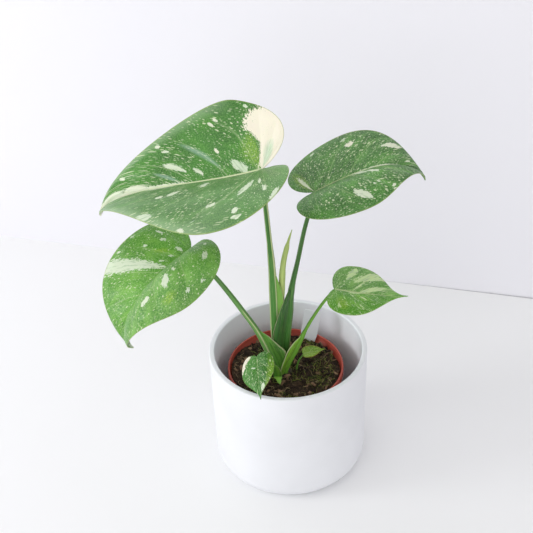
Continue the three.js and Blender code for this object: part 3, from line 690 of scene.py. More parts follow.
def routePoints(points):
    controls = [Vector(p) for p in points]
    ends = [controls[0] * 2 - controls[1], *controls, controls[-1] * 2 - controls[-2]]
    samples = []
    for i in range(len(controls) - 1):
        p0, p1, p2, p3 = ends[i:i + 4]
        d0, d1, d2 = (max((b - a).length, 1e-4) ** 0.5 for a, b in ((p0, p1), (p1, p2), (p2, p3)))
        m1 = ((p1 - p0) / d0 - (p2 - p0) / (d0 + d1) + (p2 - p1) / d1) * d1
        m2 = ((p2 - p1) / d1 - (p3 - p1) / (d1 + d2) + (p3 - p2) / d2) * d1
        for k in range(spanSamples):
            t = k / spanSamples
            samples.append(p1 + m1 * t + (p1 * -3 + p2 * 3 - m1 * 2 - m2) * t * t
                           + (p1 * 2 - p2 * 2 + m1 + m2) * t ** 3)
    samples.append(controls[-1])
    return samples


# A route walked at an even pace: lengths are shares of the whole
def makeRoute(points, steps):
    samples = routePoints(points)
    lengths = [0]
    for a, b in zip(samples, samples[1:]):
        lengths.append(lengths[-1] + (b - a).length)

    def at(share):
        target = share * lengths[-1]
        i = 1
        while i < len(lengths) - 1 and lengths[i] < target:
            i += 1
        t = (target - lengths[i - 1]) / max(lengths[i] - lengths[i - 1], 1e-6)
        return samples[i - 1].lerp(samples[i], t)

    frames = []
    forward = Vector((0, -1, 0))
    beside = 0.004  # share of the route on either side that gives its direction
    for i in range(steps + 1):
        share = i / steps
        along = (at(min(1, share + beside)) - at(max(0, share - beside))).normalized()
        forward = (forward - along * forward.dot(along)).normalized()
        frames.append({"at": at(share), "forward": forward, "right": along.cross(forward), "share": share,
                       "run": share * lengths[-1]})
    return frames, lengths


def besideRoute(here, right, front):
    return (here["at"] + here["right"] * right + here["forward"] * front) * mm


# A grid rolled into a tube: place(vert, turn, ring, size) gives each point, and size is 0 in the two end
# rows, which close to a point
def rolledGrid(bm, sides, rings, place):
    rows = rings + 2
    made = bmesh.ops.create_grid(bm, x_segments=sides, y_segments=rows, size=0.5)["verts"]
    for vert in made:
        row = round((vert.co.y + 0.5) * rows)
        place(vert, vert.co.x + 0.5, min(rings, max(0, row - 1)), 0 if row in (0, rows) else 1)
    bmesh.ops.remove_doubles(bm, verts=made, dist=weldReach["tube"] * mm)


petioleValues = [
    {
        "name": "petiole_1", "leaf": "leaf_1", "rib": 0.5, "sides": 40, "steps": 150,
        "route": [(-11.5, -6.5, 112), (-11, -7, 142), (-12.4, -8.5, 168), (-12.8, -8.5, 222),
                  (-13.6, -8.5, 254), (-17, -7.5, 315)],
        "stations": [(0, 3.3, 3), (0.2, 4.4, 3.7), (0.45, 4.3, 3.6), (0.58, 3.5, 3.1), (0.71, 2.6, 2.5),
                     (0.93, 2.2, 2.2), (1.02, 2.7, 2.7), (1.15, 1.9, 1.9), (2, 0.7, 0.7)],
        "sheath": {"from": 0.07, "to": 0.53, "bulge": 0.12,
                   "margin": [(-6.5, -10, 128), (-6.3, -10.2, 150), (-5.4, -10.6, 172), (-3, -11, 194),
                              (-3.6, -11.6, 216), (-9.2, -10.3, 239)]},
        "stripes": [(48, 18, 0.12, 1.1, 1), (-66, 22, 0.15, 1.0, 0.6)],
        "tone": color("#4f8a38"), "flapTone": color("#7aae48"),
    },
    {
        "name": "petiole_2", "leaf": "leaf_2", "rib": 0.5, "sides": 40, "steps": 140,
        "route": [(-4, -5, 112), (-3.2, -4.5, 139), (1.4, -3.5, 186), (5, -1.5, 216), (11.3, 1, 246),
                  (22, 5, 294)],
        "stations": [(0, 3.3, 3), (0.2, 4.4, 3.6), (0.36, 4.5, 3.6), (0.47, 3.4, 3), (0.56, 2.6, 2.5),
                     (0.66, 2.2, 2.2), (0.9, 2, 2), (1.02, 2.6, 2.6), (1.15, 1.8, 1.8), (2, 0.7, 0.7)],
        "sheath": {"from": 0.07, "to": 0.49, "bulge": 0.3,
                   "margin": [(-8, -12, 128), (-12.8, -13.5, 147), (-14.9, -14.2, 168), (-11, -14.2, 187),
                              (-5, -12.5, 205), (2.6, -4.5, 219)]},
        "stripes": [(58, 14, 0.1, 0.9, 0.4)],
        # the darker flap tone is partly painted shade in the gap between the first two stems, and partly the
        # sheath's own colour
        "tone": color("#477c35"), "flapTone": color("#396b2b"),
    },
    {
        "name": "petiole_3", "leaf": "leaf_3", "rib": 0.5, "sides": 36, "steps": 130,
        "route": [(-12.5, -12, 112), (-14.8, -12.5, 128), (-28.4, -15.5, 173), (-41, -17.5, 200),
                  (-67, -21, 248.5)],
        "stations": [(0, 3, 3), (0.2, 3.3, 3), (0.5, 2.7, 2.7), (0.88, 2.2, 2.2), (1.02, 2.6, 2.6),
                     (1.15, 1.8, 1.8), (2, 0.7, 0.7)],
        "sheath": {"from": 0.04, "to": 0.37, "bulge": 0.2, "edge": 0.84,
                   "margin": [(-7, -14, 117), (-4.5, -15, 132), (-2.4, -16, 149), (-9.6, -16.5, 159),
                              (-17.3, -17, 169), (-27.5, -16, 178)]},
        "stripes": [(22, 13, 0.0, 0.55, 0.7), (-80, 24, 0.1, 1.0, 0.5)],
        "tone": color("#6da252"), "flapTone": color("#5f9c38"),
    },
    {
        "name": "petiole_4", "leaf": "leaf_4", "rib": 0.45, "sides": 20, "steps": 110,
        "route": [(-5.5, -12, 112), (-1.9, -12, 126.5), (7.1, -10.5, 146), (22.3, -7, 178.5),
                  (40.3, -4, 206.4)],
        "stations": [(0, 3, 3), (0.3, 3, 2.8), (0.45, 2.6, 2.5), (0.57, 1.7, 1.7), (0.88, 1.5, 1.5),
                     (1.02, 1.9, 1.9), (1.15, 1.2, 1.2), (2, 0.5, 0.5)],
        "sheath": {"from": 0.02, "to": 0.47, "bulge": 0.15, "edge": 0.74,
                   "margin": [(-9.5, -17, 114), (-8.5, -17.6, 126), (-5.2, -17.8, 138), (-1.1, -17, 150),
                              (5, -14.5, 158.5), (13.6, -9.5, 164)]},
        "stripes": [],
        "tone": color("#72ac38"), "flapTone": color("#86bd3a"),
    },
    {
        "name": "petiole_5", "leaf": "leaf_5", "rib": 0.4, "sides": 16, "steps": 70,
        "route": [(-13, -17.5, 112), (-14.5, -19.5, 127), (-19.5, -27.5, 146), (-27, -39, 161)],
        "stations": [(0, 2.2, 2), (0.3, 2.2, 2), (0.65, 1.3, 1.3), (0.9, 1.2, 1.2), (1.02, 1.4, 1.4),
                     (2, 0.5, 0.5)],
        "sheath": {"from": 0.03, "to": 0.45, "bulge": 0.1,
                   "margin": [(-7.5, -19.2, 114), (-7.2, -20.3, 121), (-8, -21, 127), (-10.6, -21.2, 134),
                              (-17, -24.5, 142)]},
        "stripes": [],
        "tone": color("#549030"), "flapTone": color("#6aa236"),
    },
    {
        "name": "petiole_6", "leaf": "leaf_6", "rib": 0.4, "sides": 12, "steps": 40,
        "route": [(7, -8, 108), (8, -7, 118), (11, -5, 128)],
        "stations": [(0, 1.2, 1.2), (0.6, 1, 1), (1, 0.8, 0.8), (2, 0.4, 0.4)],
        "sheath": None,
        "stripes": [],
        "tone": color("#6aa03a"), "flapTone": color("#6aa03a"),
    },
]

stemShape = {"gap": 0.3, "ribSlack": 0.35, "sheathRoot": 1.6, "sheathMargin": 0.5, "sheathAcross": 16,
             "ridges": 9, "ridgeHeight": 0.07, "ripple": 0.35}
stemColors = {"dark": color("#1d4018"), "light": color("#b4cc84"), "pale": color("#c3cd98")}


def makeStemMaterial(name, stemTone, flapTone, depth=0.5):
    material, tree, shader = newMaterial(name)
    fibres = placeGroup(tree, fibreGroup, {"Place": attribute(tree, "stemPlace")})
    tone = mixNode(tree, attribute(tree, "flap", "Fac"), stemTone, flapTone)
    dark = mixNode(tree, depth, tone, stemColors["dark"])
    light = mixNode(tree, 0.35, tone, stemColors["light"])
    surface = mixNode(tree, stepNode(tree, fibres["Broad"], 0.36, 0.58), dark, tone)
    surface = blotched(tree, surface, fibres["Fine"], 0.5, 0.75, 0.6, light)
    pale = attribute(tree, "pale", "Fac")
    ragged = mathNode(tree, "ADD", pale, timesPlus(tree, fibres["Fine"], 0.5, -0.25))
    surface = mixNode(tree, stepNode(tree, ragged, 0.25, 0.75), surface, stemColors["pale"])
    finishMaterial(tree, shader, surface, timesPlus(tree, fibres["Broad"], 0.25, 0.3),
                   (fibres["Height"], 0.25, 0.0004), 0.35, (0.0012, 0.0018, 0.0006))
    return material


# The petiole's full route: under the junction and on below the midrib, clear of the blade's underside
def withRib(petiole):
    leaf = next(one for one in leafValues if one["name"] == petiole["leaf"])
    toWorld = bladeFrame(leaf)
    under = []
    for share in (0.02, 0.08, 0.2, 0.4, 0.6, 0.8, 1):
        x, drift, z, slope = midribAt(leaf, petiole["rib"] * leaf["length"] * share)
        drop = leaf["thickness"] / 2 + stemShape["gap"] + between(petiole["stations"], 1 + share)[0]
        drop += stemShape["ribSlack"]
        under.append(toWorld @ Vector((x - math.sin(slope) * drop, drift, z - math.cos(slope) * drop)))
    return [Vector(p) for p in petiole["route"]] + under


def makePetiole(petiole):
    steps = petiole["steps"]
    frames, lengths = makeRoute(withRib(petiole), steps)
    junctionShare = lengths[spanSamples * len(petiole["route"])] / lengths[-1]
    bm = bmesh.new()
    placeLayer = bm.verts.layers.float_vector.new("stemPlace")
    paleLayer = bm.verts.layers.float.new("pale")

    # stations count 0 to 1 up to the blade, and 1 to 2 below its midrib
    def stationAt(share):
        if share < junctionShare:
            return share / junctionShare
        return 1 + (share - junctionShare) / (1 - junctionShare)

    def placeStem(vert, turn, ring, size):
        here = frames[ring]
        station = stationAt(here["share"])
        width, depth = between(petiole["stations"], station)
        angle = 2 * math.pi * turn
        ridge = 1 + stemShape["ridgeHeight"] * math.cos(stemShape["ridges"] * angle) / max(width, 1)
        right = width * ridge * math.sin(angle) * size
        front = depth * ridge * math.cos(angle) * size
        vert.co = besideRoute(here, right, front)
        vert[placeLayer] = (right * mm, front * mm, here["run"] * mm)
        pale = 0
        for middle, halfWidth, start, end, strength in petiole["stripes"]:
            away = abs((math.degrees(angle) - middle + 180) % 360 - 180) / halfWidth
            ends = smoothStep(start - 0.05, start + 0.05, station)
            ends *= 1 - smoothStep(end - 0.05, end + 0.05, station)
            pale = max(pale, strength * ends * (1 - smoothStep(0.7, 1.4, away)))
        vert[paleLayer] = pale

    bm.verts.layers.float.new("flap")
    rolledGrid(bm, petiole["sides"], steps, placeStem)
    if petiole["sheath"]:
        addSheath(bm, petiole["sheath"], frames, junctionShare, placeLayer, paleLayer)
    bmesh.ops.recalc_face_normals(bm, faces=bm.faces)
    material = makeStemMaterial(petiole["name"] + "_skin", petiole["tone"], petiole["flapTone"])
    addPiece(petiole["name"] + "_stem", bm, [material], [petiole["name"]])


# A sheath: a thin flap from inside the stem out to its own free margin, standing forward between the two
def addSheath(bm, sheath, frames, junctionShare, placeLayer, paleLayer):
    flapLayer = bm.verts.layers.float["flap"]
    steps = len(frames) - 1
    first = round(sheath["from"] * junctionShare * steps)
    rings = round(sheath["to"] * junctionShare * steps) - first
    samples = routePoints(sheath["margin"])

    def placeFlap(vert, turn, ring, size):
        share = ring / rings
        root = frames[first + ring]
        edge = samples[round(share * (len(samples) - 1))]
        outward = edge - root["at"]
        reach = 1 - abs(2 * turn - 1)
        side = 1 if turn < 0.5 else -1
        ripple = stemShape["ripple"] * noise.noise(Vector((share * 9, reach * 2, first))) * reach
        thick = mixed(stemShape["sheathRoot"], stemShape["sheathMargin"], reach) * (1 - reach ** 6) * size
        forward = 4 * sheath["bulge"] * outward.length * reach * (1 - reach) + side * thick / 2 + ripple
        vert.co = (root["at"] + outward * reach + root["forward"] * forward) * mm
        vert[placeLayer] = (outward.length * reach * mm, forward * mm, root["run"] * mm)
        vert[paleLayer] = smoothStep(sheath.get("edge", 0.9), 0.99, reach) * 0.8
        vert[flapLayer] = smoothStep(0.1, 0.4, reach)

    rolledGrid(bm, 2 * stemShape["sheathAcross"], rings, placeFlap)


for petiole in petioleValues:
    makePetiole(petiole)
print("petioles made:", len(petioleValues))

spearValues = {
    "route": [(-6.8, -6.2, 140), (-6, -6.5, 182), (-4.9, -6.8, 219), (-2.3, -6.6, 252.5), (3.5, -4.5, 276),
              (6.8, -3, 286.5)],
    "stations": [(0, 1.6, 1.6), (0.3, 1.8, 1.8), (0.53, 3.3, 2.4), (0.65, 3.2, 2.4), (0.72, 2.7, 2.3),
                 (0.86, 2.3, 2), (0.93, 1.2, 1.2), (1, 0.4, 0.4)],
    "sides": 44, "steps": 120, "rollStep": 0.16, "tone": color("#b8cc78"),
}

bractValues = {
    "route": [(-11.5, -19, 114), (-11.3, -20.5, 120), (-10.8, -24.5, 121.6), (-9.4, -31, 118.8)],
    "stations": [(0, 4, 0.7), (0.45, 4.2, 0.6), (0.75, 2.4, 0.5), (1, 0.2, 0.2)],
    "sides": 20, "steps": 30, "rollStep": 0, "tone": color("#8cc04c"),
}


def makeRolled(name, values):
    frames, _ = makeRoute(values["route"], values["steps"])
    bm = bmesh.new()
    placeLayer = bm.verts.layers.float_vector.new("stemPlace")
    paleLayer = bm.verts.layers.float.new("pale")

    # lap runs round the roll from -1 to 1, and its free edge is at 1
    def placeRoll(vert, turn, ring, size):
        here = frames[ring]
        width, depth = between(values["stations"], here["share"])
        angle = 2 * math.pi * turn
        lap = (2 * turn + 3 * here["share"] + 1) % 2 - 1
        size *= 1 + values["rollStep"] * lap
        right = width * size * math.sin(angle)
        front = depth * size * math.cos(angle)
        vert.co = besideRoute(here, right, front)
        vert[placeLayer] = (right * mm, front * mm, here["run"] * mm)
        vert[paleLayer] = 0.6 * smoothStep(0.86, 1, lap) if values["rollStep"] else 0

    rolledGrid(bm, values["sides"], values["steps"], placeRoll)
    bmesh.ops.recalc_face_normals(bm, faces=bm.faces)
    material = makeStemMaterial(name + "_skin", values["tone"], values["tone"], 0.2)
    addPiece(name + "_roll", bm, [material], [name])


makeRolled("spear", spearValues)
makeRolled("bract", bractValues)
print("spear and bract made")


# Pots

potColors = {
    # the inside colour is painted light for the cover pot's inner wall
    "glaze": color("#e8e9ed"), "glazeLight": color("#eeeff3"), "paintedLightInside": color("#f8faff"),
    "plastic": color("#a8402f"), "plasticLight": color("#c05444"), "plasticDirt": color("#5b2a22"),
}

potValues = {
    "cover": {"height": 142, "rimRadius": 80, "baseRadius": 78.8, "corner": 19, "wall": 5.4, "floor": 7,
              "rimRound": 1.6, "innerCorner": 14, "cornerFrom": -84, "turns": 192},
    "nursery": {"centre": (-2.9, -1.5), "foot": 7.3, "height": 112.2, "rimRadius": 59, "baseRadius": 43,
                "wall": 1.3, "collar": 9, "collarStep": 2.6, "floor": 1.6, "turns": 160},
}


def spunProfile(points, turns, centre=(0, 0)):
    bm = bmesh.new()
    verts = [bm.verts.new((r * mm, 0, z * mm)) for r, z in points]
    edges = [bm.edges.new(pair) for pair in zip(verts, verts[1:])]
    bmesh.ops.spin(bm, geom=verts + edges, cent=(0, 0, 0), axis=(0, 0, 1), angle=2 * math.pi, steps=turns,
                   use_merge=True)
    bmesh.ops.remove_doubles(bm, verts=bm.verts, dist=weldReach["spin"] * mm)
    bmesh.ops.translate(bm, verts=bm.verts, vec=(centre[0] * mm, centre[1] * mm, 0))
    bmesh.ops.recalc_face_normals(bm, faces=bm.faces)
    return bm


def arc(centre, radius, start, end, count):
    angles = [math.radians(mixed(start, end, i / count)) for i in range(count + 1)]
    return [(centre[0] + radius * math.cos(a), centre[1] + radius * math.sin(a)) for a in angles]


def makeCoverPot():
    p = potValues["cover"]
    innerRim = p["rimRadius"] - p["wall"]
    innerBase = p["baseRadius"] - p["wall"]
    r, corner, inner = p["rimRound"], p["corner"], p["innerCorner"]
    points = [(0, 0), (p["baseRadius"] - corner, 0)]
    points += arc((p["baseRadius"] - corner, corner), corner, p["cornerFrom"], 0, 10)
    points += arc((p["rimRadius"] - r, p["height"] - r), r, 0, 90, 5)
    points += arc((innerRim + r, p["height"] - r), r, 90, 180, 5)
    points += arc((innerBase - inner, p["floor"] + inner), inner, 0, p["cornerFrom"], 8)
    points += [(0, p["floor"])]
    bm = spunProfile(points, p["turns"])
    addPiece("cover_pot_glazed", bm, [makeGlazeMaterial()], ["cover_pot"])


def makeNurseryPot():
    p = potValues["nursery"]
    foot, wall, rimRadius, base = p["foot"], p["wall"], p["rimRadius"], p["baseRadius"]
    rim = foot + p["height"]
    collar = rim - p["collar"]
    outer = rimRadius - p["collarStep"]
    inner = rimRadius - wall
    points = [
        (0, foot), (base - 2, foot), (base, foot + 2), (outer, collar),
        (rimRadius - 0.4, collar + 0.5), (rimRadius, collar + 1.2), (rimRadius, rim - 0.6),
        (rimRadius - 0.2, rim - 0.15), (rimRadius - 0.6, rim), (inner, rim),
        (inner - 0.4, rim - 0.3), (inner - 0.5, rim - 0.8),
        (inner - 0.6, collar + 1.9), (outer - wall, collar + 1.4),
        (base - wall, foot + p["floor"]), (0, foot + p["floor"]),
    ]
    bm = spunProfile(points, p["turns"], p["centre"])
    addPiece("nursery_pot_moulded", bm, [makePotPlasticMaterial()], ["nursery_pot"])


def makeGlazeMaterial():
    material, tree, shader = newMaterial("satin_white_glaze")
    place = objectPlace(tree)
    cloud = noiseNode(tree, place, 14, 3)
    grain = noiseNode(tree, place, 900)
    surface = mixNode(tree, stepNode(tree, cloud, 0.3, 0.7), potColors["glaze"], potColors["glazeLight"])
    fromAxis = addNode(tree, "VectorMath", {0: place, 1: (1, 1, 0)}, operation="MULTIPLY").outputs["Vector"]
    fromAxis = addNode(tree, "VectorMath", {0: fromAxis}, operation="LENGTH").outputs["Value"]
    inside = stepNode(tree, fromAxis, 0.0765, 0.0755)  # the inner wall starts 5.4 mm within the 80 mm rim
    # painted light: the inner wall gets a whiter glaze that stands in for the light the leaves keep from the
    # inside of the pot
    surface = mixNode(tree, inside, surface, potColors["paintedLightInside"])
    uneven = timesPlus(tree, grain, 0.1, cloud)
    finishMaterial(tree, shader, surface, timesPlus(tree, grain, 0.12, 0.4), (uneven, 0.06, 0.0006), 0.4)
    return material


def makePotPlasticMaterial():
    material, tree, shader = newMaterial("terracotta_plastic")
    place = objectPlace(tree)
    dirt = noiseNode(tree, place, 160, 4, 0.7)
    surface = mixNode(tree, noiseNode(tree, place, 40, 3), potColors["plastic"], potColors["plasticLight"])
    surface = blotched(tree, surface, dirt, 0.58, 0.75, 0.5, potColors["plasticDirt"])
    grain = noiseNode(tree, place, 1800)
    finishMaterial(tree, shader, surface, timesPlus(tree, dirt, 0.25, 0.38), (grain, 0.2, 0.0002))
    return material


makeCoverPot()
makeNurseryPot()
print("pots made")


# Potting mix: a lumpy body, bark chips, fibres and moss strands on top

soilValues = {
    "rim": 119.5, "belowRim": 3.4, "middleBelowRim": 2.1, "radius": 54.8, "spread": 1.6, "shoulder": 12,
    "lump": 1.3, "waves": [(0.23, 0.19, 0.3, 0.5), (0.23, -0.19, 1.3, 0.5), (0.41, -0.33, 2, 0.7)],
    "hollowDepth": 5.2, "hollowToward": 72, "hollowFrom": 85, "hollowTo": 30,
    "bottom": 9.2, "bottomRadius": 41.6, "under": 110.2, "clod": 1.5, "rings": 72, "turns": 220,
    "dark": color("#1c1610"), "light": color("#5e4a38"),
}
chipValues = {
    "count": 560, "seed": 7, "smallest": 0.9, "growth": 5.5, "ragged": 0.16, "bevel": 0.12, "lift": 0.15,
    "dark": color("#261a13"), "light": color("#8d7158"),
}
strandValues = [
    {"name": "soil_fibres", "count": 340, "seed": 11, "reach": 11, "radius": 0.26, "rise": 1.6,
     "clumped": False, "dark": color("#3b2c1c"), "light": color("#ac9a74")},
    {"name": "soil_moss", "count": 1050, "seed": 12, "reach": 10, "radius": 0.3, "rise": 2.2,
     "clumped": True, "dark": color("#2f3a1a"), "light": color("#80893e")},
]
potCentre = Vector(potValues["nursery"]["centre"])


# How much of the hollow at the back lies in the direction of a place
def hollowShare(x, y):
    s = soilValues
    offset = Vector((x, y)) - potCentre
    toward = math.cos(math.atan2(offset.y, offset.x) - math.radians(s["hollowToward"]))
    return smoothStep(math.cos(math.radians(s["hollowFrom"])), math.cos(math.radians(s["hollowTo"])), toward)


def soilHeight(x, y):
    s = soilValues
    inward = min(1, max(0, (s["radius"] - (Vector((x, y)) - potCentre).length) / s["shoulder"]))
    edge = s["rim"] - s["belowRim"] - s["hollowDepth"] * hollowShare(x, y)
    base = mixed(edge, s["rim"] - s["middleBelowRim"], math.sin(inward * math.pi / 2))
    return base + sum(s["lump"] * inward * size * math.sin(a * x + b * y + phase)
                      for a, b, phase, size in s["waves"])


def clodHeight(x, y):
    place = Vector((x, y, 0))
    coarse = noise.fractal(place * 0.16, 0.8, 2.1, 4)
    fine = abs(noise.noise(place * 0.7)) + 0.5 * abs(noise.noise(place * 1.6))
    return soilValues["clod"] * (coarse * 0.9 + fine * 0.8 - 0.6)


def topHeight(x, y):
    return soilHeight(x, y) + clodHeight(x, y)


def makeSoilMaterial(name, values, roughness):
    material, tree, shader = newMaterial(name)
    place = objectPlace(tree)
    crumb = noiseNode(tree, place, 420, 4, 0.7)
    cloud = noiseNode(tree, place, 60, 3)
    mixing = mathNode(tree, "ADD", times(tree, crumb, 0.6), times(tree, cloud, 0.4))
    mixing = mathNode(tree, "ADD", mixing, timesPlus(tree, attribute(tree, "tone", "Fac"), 0.8, -0.4))
    surface = mixNode(tree, stepNode(tree, mixing, 0.35, 0.75), values["dark"], values["light"])
    finishMaterial(tree, shader, surface, roughness, (crumb, 0.6, 0.001), 0.2)
    return material


def makeSoil():
    s = soilValues
    points = [(0, s["bottom"]), (s["bottomRadius"], s["bottom"]), (s["radius"], s["under"])]
    points += [(s["radius"] * (1 - i / s["rings"]), s["rim"]) for i in range(s["rings"] + 1)]
    bm = spunProfile(points, s["turns"], potCentre)
    toneLayer = bm.verts.layers.float.new("tone")
    for vert in bm.verts:
        x, y = vert.co.x / mm, vert.co.y / mm
        vert[toneLayer] = 0.5
        if vert.co.z > (s["rim"] - 1) * mm:
            offset = Vector((x, y)) - potCentre
            raised = (1 - hollowShare(x, y)) * s["spread"] / s["radius"]
            if offset.length < s["radius"] * 0.995:
                offset *= 1 + raised
                vert.co.z = topHeight(x, y) * mm
            else:
                vert.co.z = (s["under"] + 0.5 + 1.4 * (1 - hollowShare(x, y))) * mm
            vert.co.x, vert.co.y = (potCentre + offset) * mm
    addPiece("soil_body", bm, [makeSoilMaterial("potting_mix", s, 0.9)], ["soil"])


# A place on the soil, spread evenly over it and clear of the wall
def scatterPlace(draw, spread=0.97):
    angle = draw.uniform(0, 2 * math.pi)
    radius = soilValues["radius"] * spread * math.sqrt(draw.random())
    x = potCentre.x + radius * math.cos(angle)
    y = potCentre.y + radius * math.sin(angle)
    return Vector((x, y, topHeight(x, y)))


def makeChips():
    values = chipValues
    ragged = values["ragged"]
    draw = random.Random(values["seed"])
    bm = bmesh.new()
    toneLayer = bm.verts.layers.float.new("tone")
    for _ in range(values["count"]):
        size = values["smallest"] + values["growth"] * draw.random() ** 2.5
        shape = Matrix.Diagonal((size, size * draw.uniform(0.3, 0.8), size * draw.uniform(0.15, 0.45), 1))
        turn = Matrix.Rotation(draw.uniform(0, 6.28), 4, "Z") @ Matrix.Rotation(draw.gauss(0, 0.5), 4, "X")
        turn = turn @ Matrix.Rotation(draw.gauss(0, 0.4), 4, "Y")
        made = bmesh.ops.create_cube(bm, size=1)["verts"]
        tone = draw.random()
        for vert in made:
            vert[toneLayer] = tone
            vert.co += Vector([draw.uniform(-ragged, ragged) for _ in range(3)])
        place = scatterPlace(draw)
        place.z += values["lift"] * size
        bmesh.ops.transform(bm, verts=made, matrix=Matrix.Translation(place) @ turn @ shape)
    bmesh.ops.bevel(bm, geom=bm.edges[:], offset=values["bevel"], segments=1, affect="EDGES", profile=0.5,
                    material=-1)
    bmesh.ops.scale(bm, verts=bm.verts, vec=(mm, mm, mm))
    addPiece("soil_bark", bm, [makeSoilMaterial("bark_chips", values, 0.8)])


def addStrand(bm, layer, tone, path, radius, sides, rings):
    frames, _ = makeRoute(path, rings)

    def placeStrand(vert, turn, ring, size):
        here = frames[ring]
        size *= radius * (1 - 0.6 * here["share"])
        angle = 2 * math.pi * turn
        vert.co = (here["at"] + here["right"] * size * math.sin(angle)
                   + here["forward"] * size * math.cos(angle)) * mm
        vert[layer] = tone

    rolledGrid(bm, sides, rings, placeStrand)


# Strands of one kind; those that clump stay away from about half of the soil
def makeStrands(values):
    draw = random.Random(values["seed"])
    bm = bmesh.new()
    toneLayer = bm.verts.layers.float.new("tone")
    for _ in range(values["count"]):
        start = scatterPlace(draw, 0.93)
        crowd = noise.noise(start * 0.05 + Vector((0, values["seed"], 0))) + 0.004 * (start.x - potCentre.x)
        if values["clumped"] and crowd < 0:
            continue
        heading = draw.uniform(0, 6.28)
        path = [start]
        for _ in range(3):
            heading += draw.gauss(0, 0.6)
            step = draw.uniform(0.5, 1) * values["reach"] / 3
            x = path[-1].x + step * math.cos(heading)
            y = path[-1].y + step * math.sin(heading)
            away = (Vector((x, y)) - potCentre).length / (0.97 * soilValues["radius"])
            if away > 1:
                x, y = potCentre + (Vector((x, y)) - potCentre) / away
            path.append(Vector((x, y, topHeight(x, y) + draw.uniform(0.1, values["rise"]))))
        addStrand(bm, toneLayer, draw.random(), path, values["radius"] * draw.uniform(0.6, 1.3), 5, 7)
    bmesh.ops.recalc_face_normals(bm, faces=bm.faces)
    addPiece(values["name"], bm, [makeSoilMaterial(values["name"] + "_fibre", values, 0.75)])


makeSoil()
makeChips()
for strands in strandValues:
    makeStrands(strands)
print("potting mix made")


# The plant label: a bare plate pushed into the potting mix

labelValues = {"foot": (22, 43.5, 112), "lean": 8, "turn": -17, "tilt": 7, "width": 17.5, "footWidth": 14.5,
               "thickness": 0.8, "height": 38.5, "shoulder": 10, "corner": 3, "pointDepth": 24,
               "pointLength": 9, "bevel": 0.18,
               "dark": color("#f0f1fa"), "light": color("#fafaff"), "dirt": color("#a79a8e")}


def makeLabel():
    l = labelValues
    wide, foot = l["width"] / 2, l["footWidth"] / 2
    corner = arc((wide - l["corner"], l["height"] - l["corner"]), l["corner"], 0, 90, 8)
    half = [(foot, l["pointLength"] - l["pointDepth"]), (foot, 0), (wide, l["shoulder"])] + corner
    outline = [(0, -l["pointDepth"])] + half + [(-x, y) for x, y in reversed(half)]
    bm = bmesh.new()
    face = bm.faces.new([bm.verts.new((x, y, 0)) for x, y in outline])
    made = bmesh.ops.extrude_face_region(bm, geom=[face])["geom"]
    raised = [item for item in made if isinstance(item, bmesh.types.BMVert)]
    bmesh.ops.translate(bm, verts=raised, vec=(0, 0, l["thickness"]))
    bmesh.ops.translate(bm, verts=bm.verts, vec=(0, 0, -l["thickness"] / 2))
    bmesh.ops.recalc_face_normals(bm, faces=bm.faces)
    bmesh.ops.bevel(bm, geom=bm.edges[:], offset=l["bevel"], segments=2, affect="EDGES", profile=0.5,
                    material=-1)
    turn = Matrix.Rotation(math.radians(l["turn"]), 4, "Z")
    turn = turn @ Matrix.Rotation(math.radians(90 - l["lean"]), 4, "X")
    turn = turn @ Matrix.Rotation(math.radians(-l["tilt"]), 4, "Z")
    toPlace = Matrix.Scale(mm, 4) @ Matrix.Translation(Vector(l["foot"])) @ turn
    bmesh.ops.transform(bm, verts=bm.verts, matrix=toPlace)
    piece = addPiece("plant_label_plate", bm, [makeLabelMaterial()], ["plant_label"])
    piece.data.polygons.foreach_set("use_smooth", [False] * len(piece.data.polygons))


def makeLabelMaterial():
    material, tree, shader = newMaterial("label_plastic")
    place = objectPlace(tree)
    smear = grained(tree, place, (60, 60, 20), 3)
    dirt = noiseNode(tree, place, 300, 3, 0.7)
    surface = mixNode(tree, smear, labelValues["dark"], labelValues["light"])
    surface = blotched(tree, surface, dirt, 0.66, 0.8, 0.35, labelValues["dirt"])
    finishMaterial(tree, shader, surface, timesPlus(tree, smear, 0.2, 0.25), (dirt, 0.08, 0.0003))
    return material


makeLabel()
print("label made")


# The crown keeps its own solid

crownColors = {"dark": color("#241c12"), "light": color("#4a4228"), "blotch": color("#2f2317")}


def makeCrownMaterial():
    material, tree, shader = newMaterial("crown_tissue")
    place = objectPlace(tree)
    scars = grained(tree, place, (90, 90, 500), 3)
    surface = mixNode(tree, stepNode(tree, scars, 0.35, 0.65), crownColors["dark"], crownColors["light"])
    surface = blotched(tree, surface, noiseNode(tree, place, 150, 3), 0.5, 0.7, 0.6, crownColors["blotch"])
    finishMaterial(tree, shader, surface, 0.75, (scars, 0.5, 0.0008))
    return material


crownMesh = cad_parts["crown"].data
crownMesh.materials.clear()
crownMesh.materials.append(makeCrownMaterial())


# Floor, wall and light

stageValues = {
    "wallLeft": (-392, 436), "wallRight": (318, 245), "reach": 3000, "wallHeight": 2500,
    "seam": 1.3, "seamFrom": 0.7, "seamDepth": 6, "stripReach": 60,
    # the strip's dark grey is painted shade for the seam between floor and wall
    "floorTones": (color("#f3f3f3"), color("#f6f6f6")), "seamShadeTones": (color("#8f8d8c"), color("#7f7d7c")),
    "wallTones": (color("#edecf1"), color("#f0eff4")), "specks": color("#b9b6b2"),
    "skyTint": (0.985, 0.98, 0.985, 1), "skyPower": 0.72,
}

# The lamps' values are in metres and watts
lampValues = [
    {"name": "window", "place": (-0.98, -1.92, 1.2), "target": (0, 0, 0.15), "size": 2.2, "power": 11.5,
     "tint": (0.98, 0.99, 1)},
    {"name": "sidelight", "place": (-2.1, -0.3, 0.9), "target": (0, 0, 0.15), "size": 0.8, "power": 12,
     "tint": (0.97, 0.985, 1)},
    {"name": "softbox", "place": (-1.9, -0.7, 2.0), "target": (0, 0, 0.2), "size": 1.6, "power": 5.5,
     "tint": (0.98, 0.985, 1)},
]


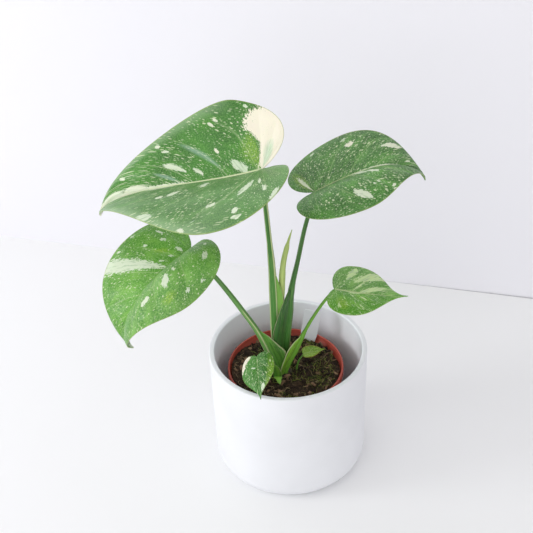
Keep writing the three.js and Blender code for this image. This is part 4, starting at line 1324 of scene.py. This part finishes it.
# A flat backdrop; one that is seen through from behind doesn't hide the plant in a view from the back
def addBackdrop(name, corners, tones, seenThrough=False):
    material, tree, shader = newMaterial(name + "_paint")
    place = objectPlace(tree)
    surface = mixNode(tree, noiseNode(tree, place, 3), tones[0], tones[1])
    surface = blotched(tree, surface, noiseNode(tree, place, 130), 0.86, 0.9, 0.3, stageValues["specks"])
    fillInputs(tree, shader, {"Base Color": surface, "Roughness": 0.75})
    if seenThrough:
        away = addNode(tree, "NewGeometry").outputs["Backfacing"]
        tree.links.new(mathNode(tree, "SUBTRACT", 1, away), shader.inputs["Alpha"])
    bm = bmesh.new()
    bm.faces.new([bm.verts.new([value * mm for value in corner]) for corner in corners])
    linkMesh(name, bm, [material])


# A floor, a wall behind it, and a strip below the seam between them, whose dark grey is painted shade that
# keeps the seam dark. The seam opens at a share of the way between the wall's two given places, and past the
# second it keeps its width.
def makeStage():
    s = stageValues
    left, right = Vector(s["wallLeft"]), Vector(s["wallRight"])
    along = (right - left).normalized()
    far, near = left - along * s["reach"], right + along * s["reach"]
    back = Vector((-along.y, along.x))
    opening = left.lerp(right, s["seamFrom"])
    seamRight, seamNear = right - back * s["seam"], near - back * s["seam"]
    depth = s["seamDepth"]
    beyond = back * s["stripReach"]
    addBackdrop("floor", [(-s["reach"], -s["reach"], 0), (s["reach"], -s["reach"], 0), (*seamNear, 0),
                          (*seamRight, 0), (*opening, 0), (*far, 0)], s["floorTones"])
    addBackdrop("seam_shade_strip", [(*(far - beyond), -depth), (*(seamNear - beyond), -depth),
                               (*(near + beyond), -depth), (*(far + beyond), -depth)], s["seamShadeTones"])
    addBackdrop("wall", [(*far, -depth), (*near, -depth), (*near, s["wallHeight"]), (*far, s["wallHeight"])],
                s["wallTones"], True)


def addLamp(values):
    data = bpy.data.lights.new(values["name"], "AREA")
    data.shape = "DISK"
    data.size = values["size"]
    data.energy = values["power"]
    data.color = values["tint"]
    lamp = bpy.data.objects.new(values["name"], data)
    lamp.location = values["place"]
    lamp.rotation_mode = "QUATERNION"
    lamp.rotation_quaternion = (Vector(values["target"]) - Vector(values["place"])).to_track_quat("-Z", "Y")
    bpy.context.scene.collection.objects.link(lamp)


def makeWorld():
    world = bpy.data.worlds.new("studio")
    bpy.context.scene.world = world
    world.use_nodes = True
    background = world.node_tree.nodes["Background"]
    background.inputs["Color"].default_value = stageValues["skyTint"]
    background.inputs["Strength"].default_value = stageValues["skyPower"]


makeStage()
makeWorld()
for values in lampValues:
    addLamp(values)
bpy.context.scene.view_settings.view_transform = "Standard"
print("stage and light made")
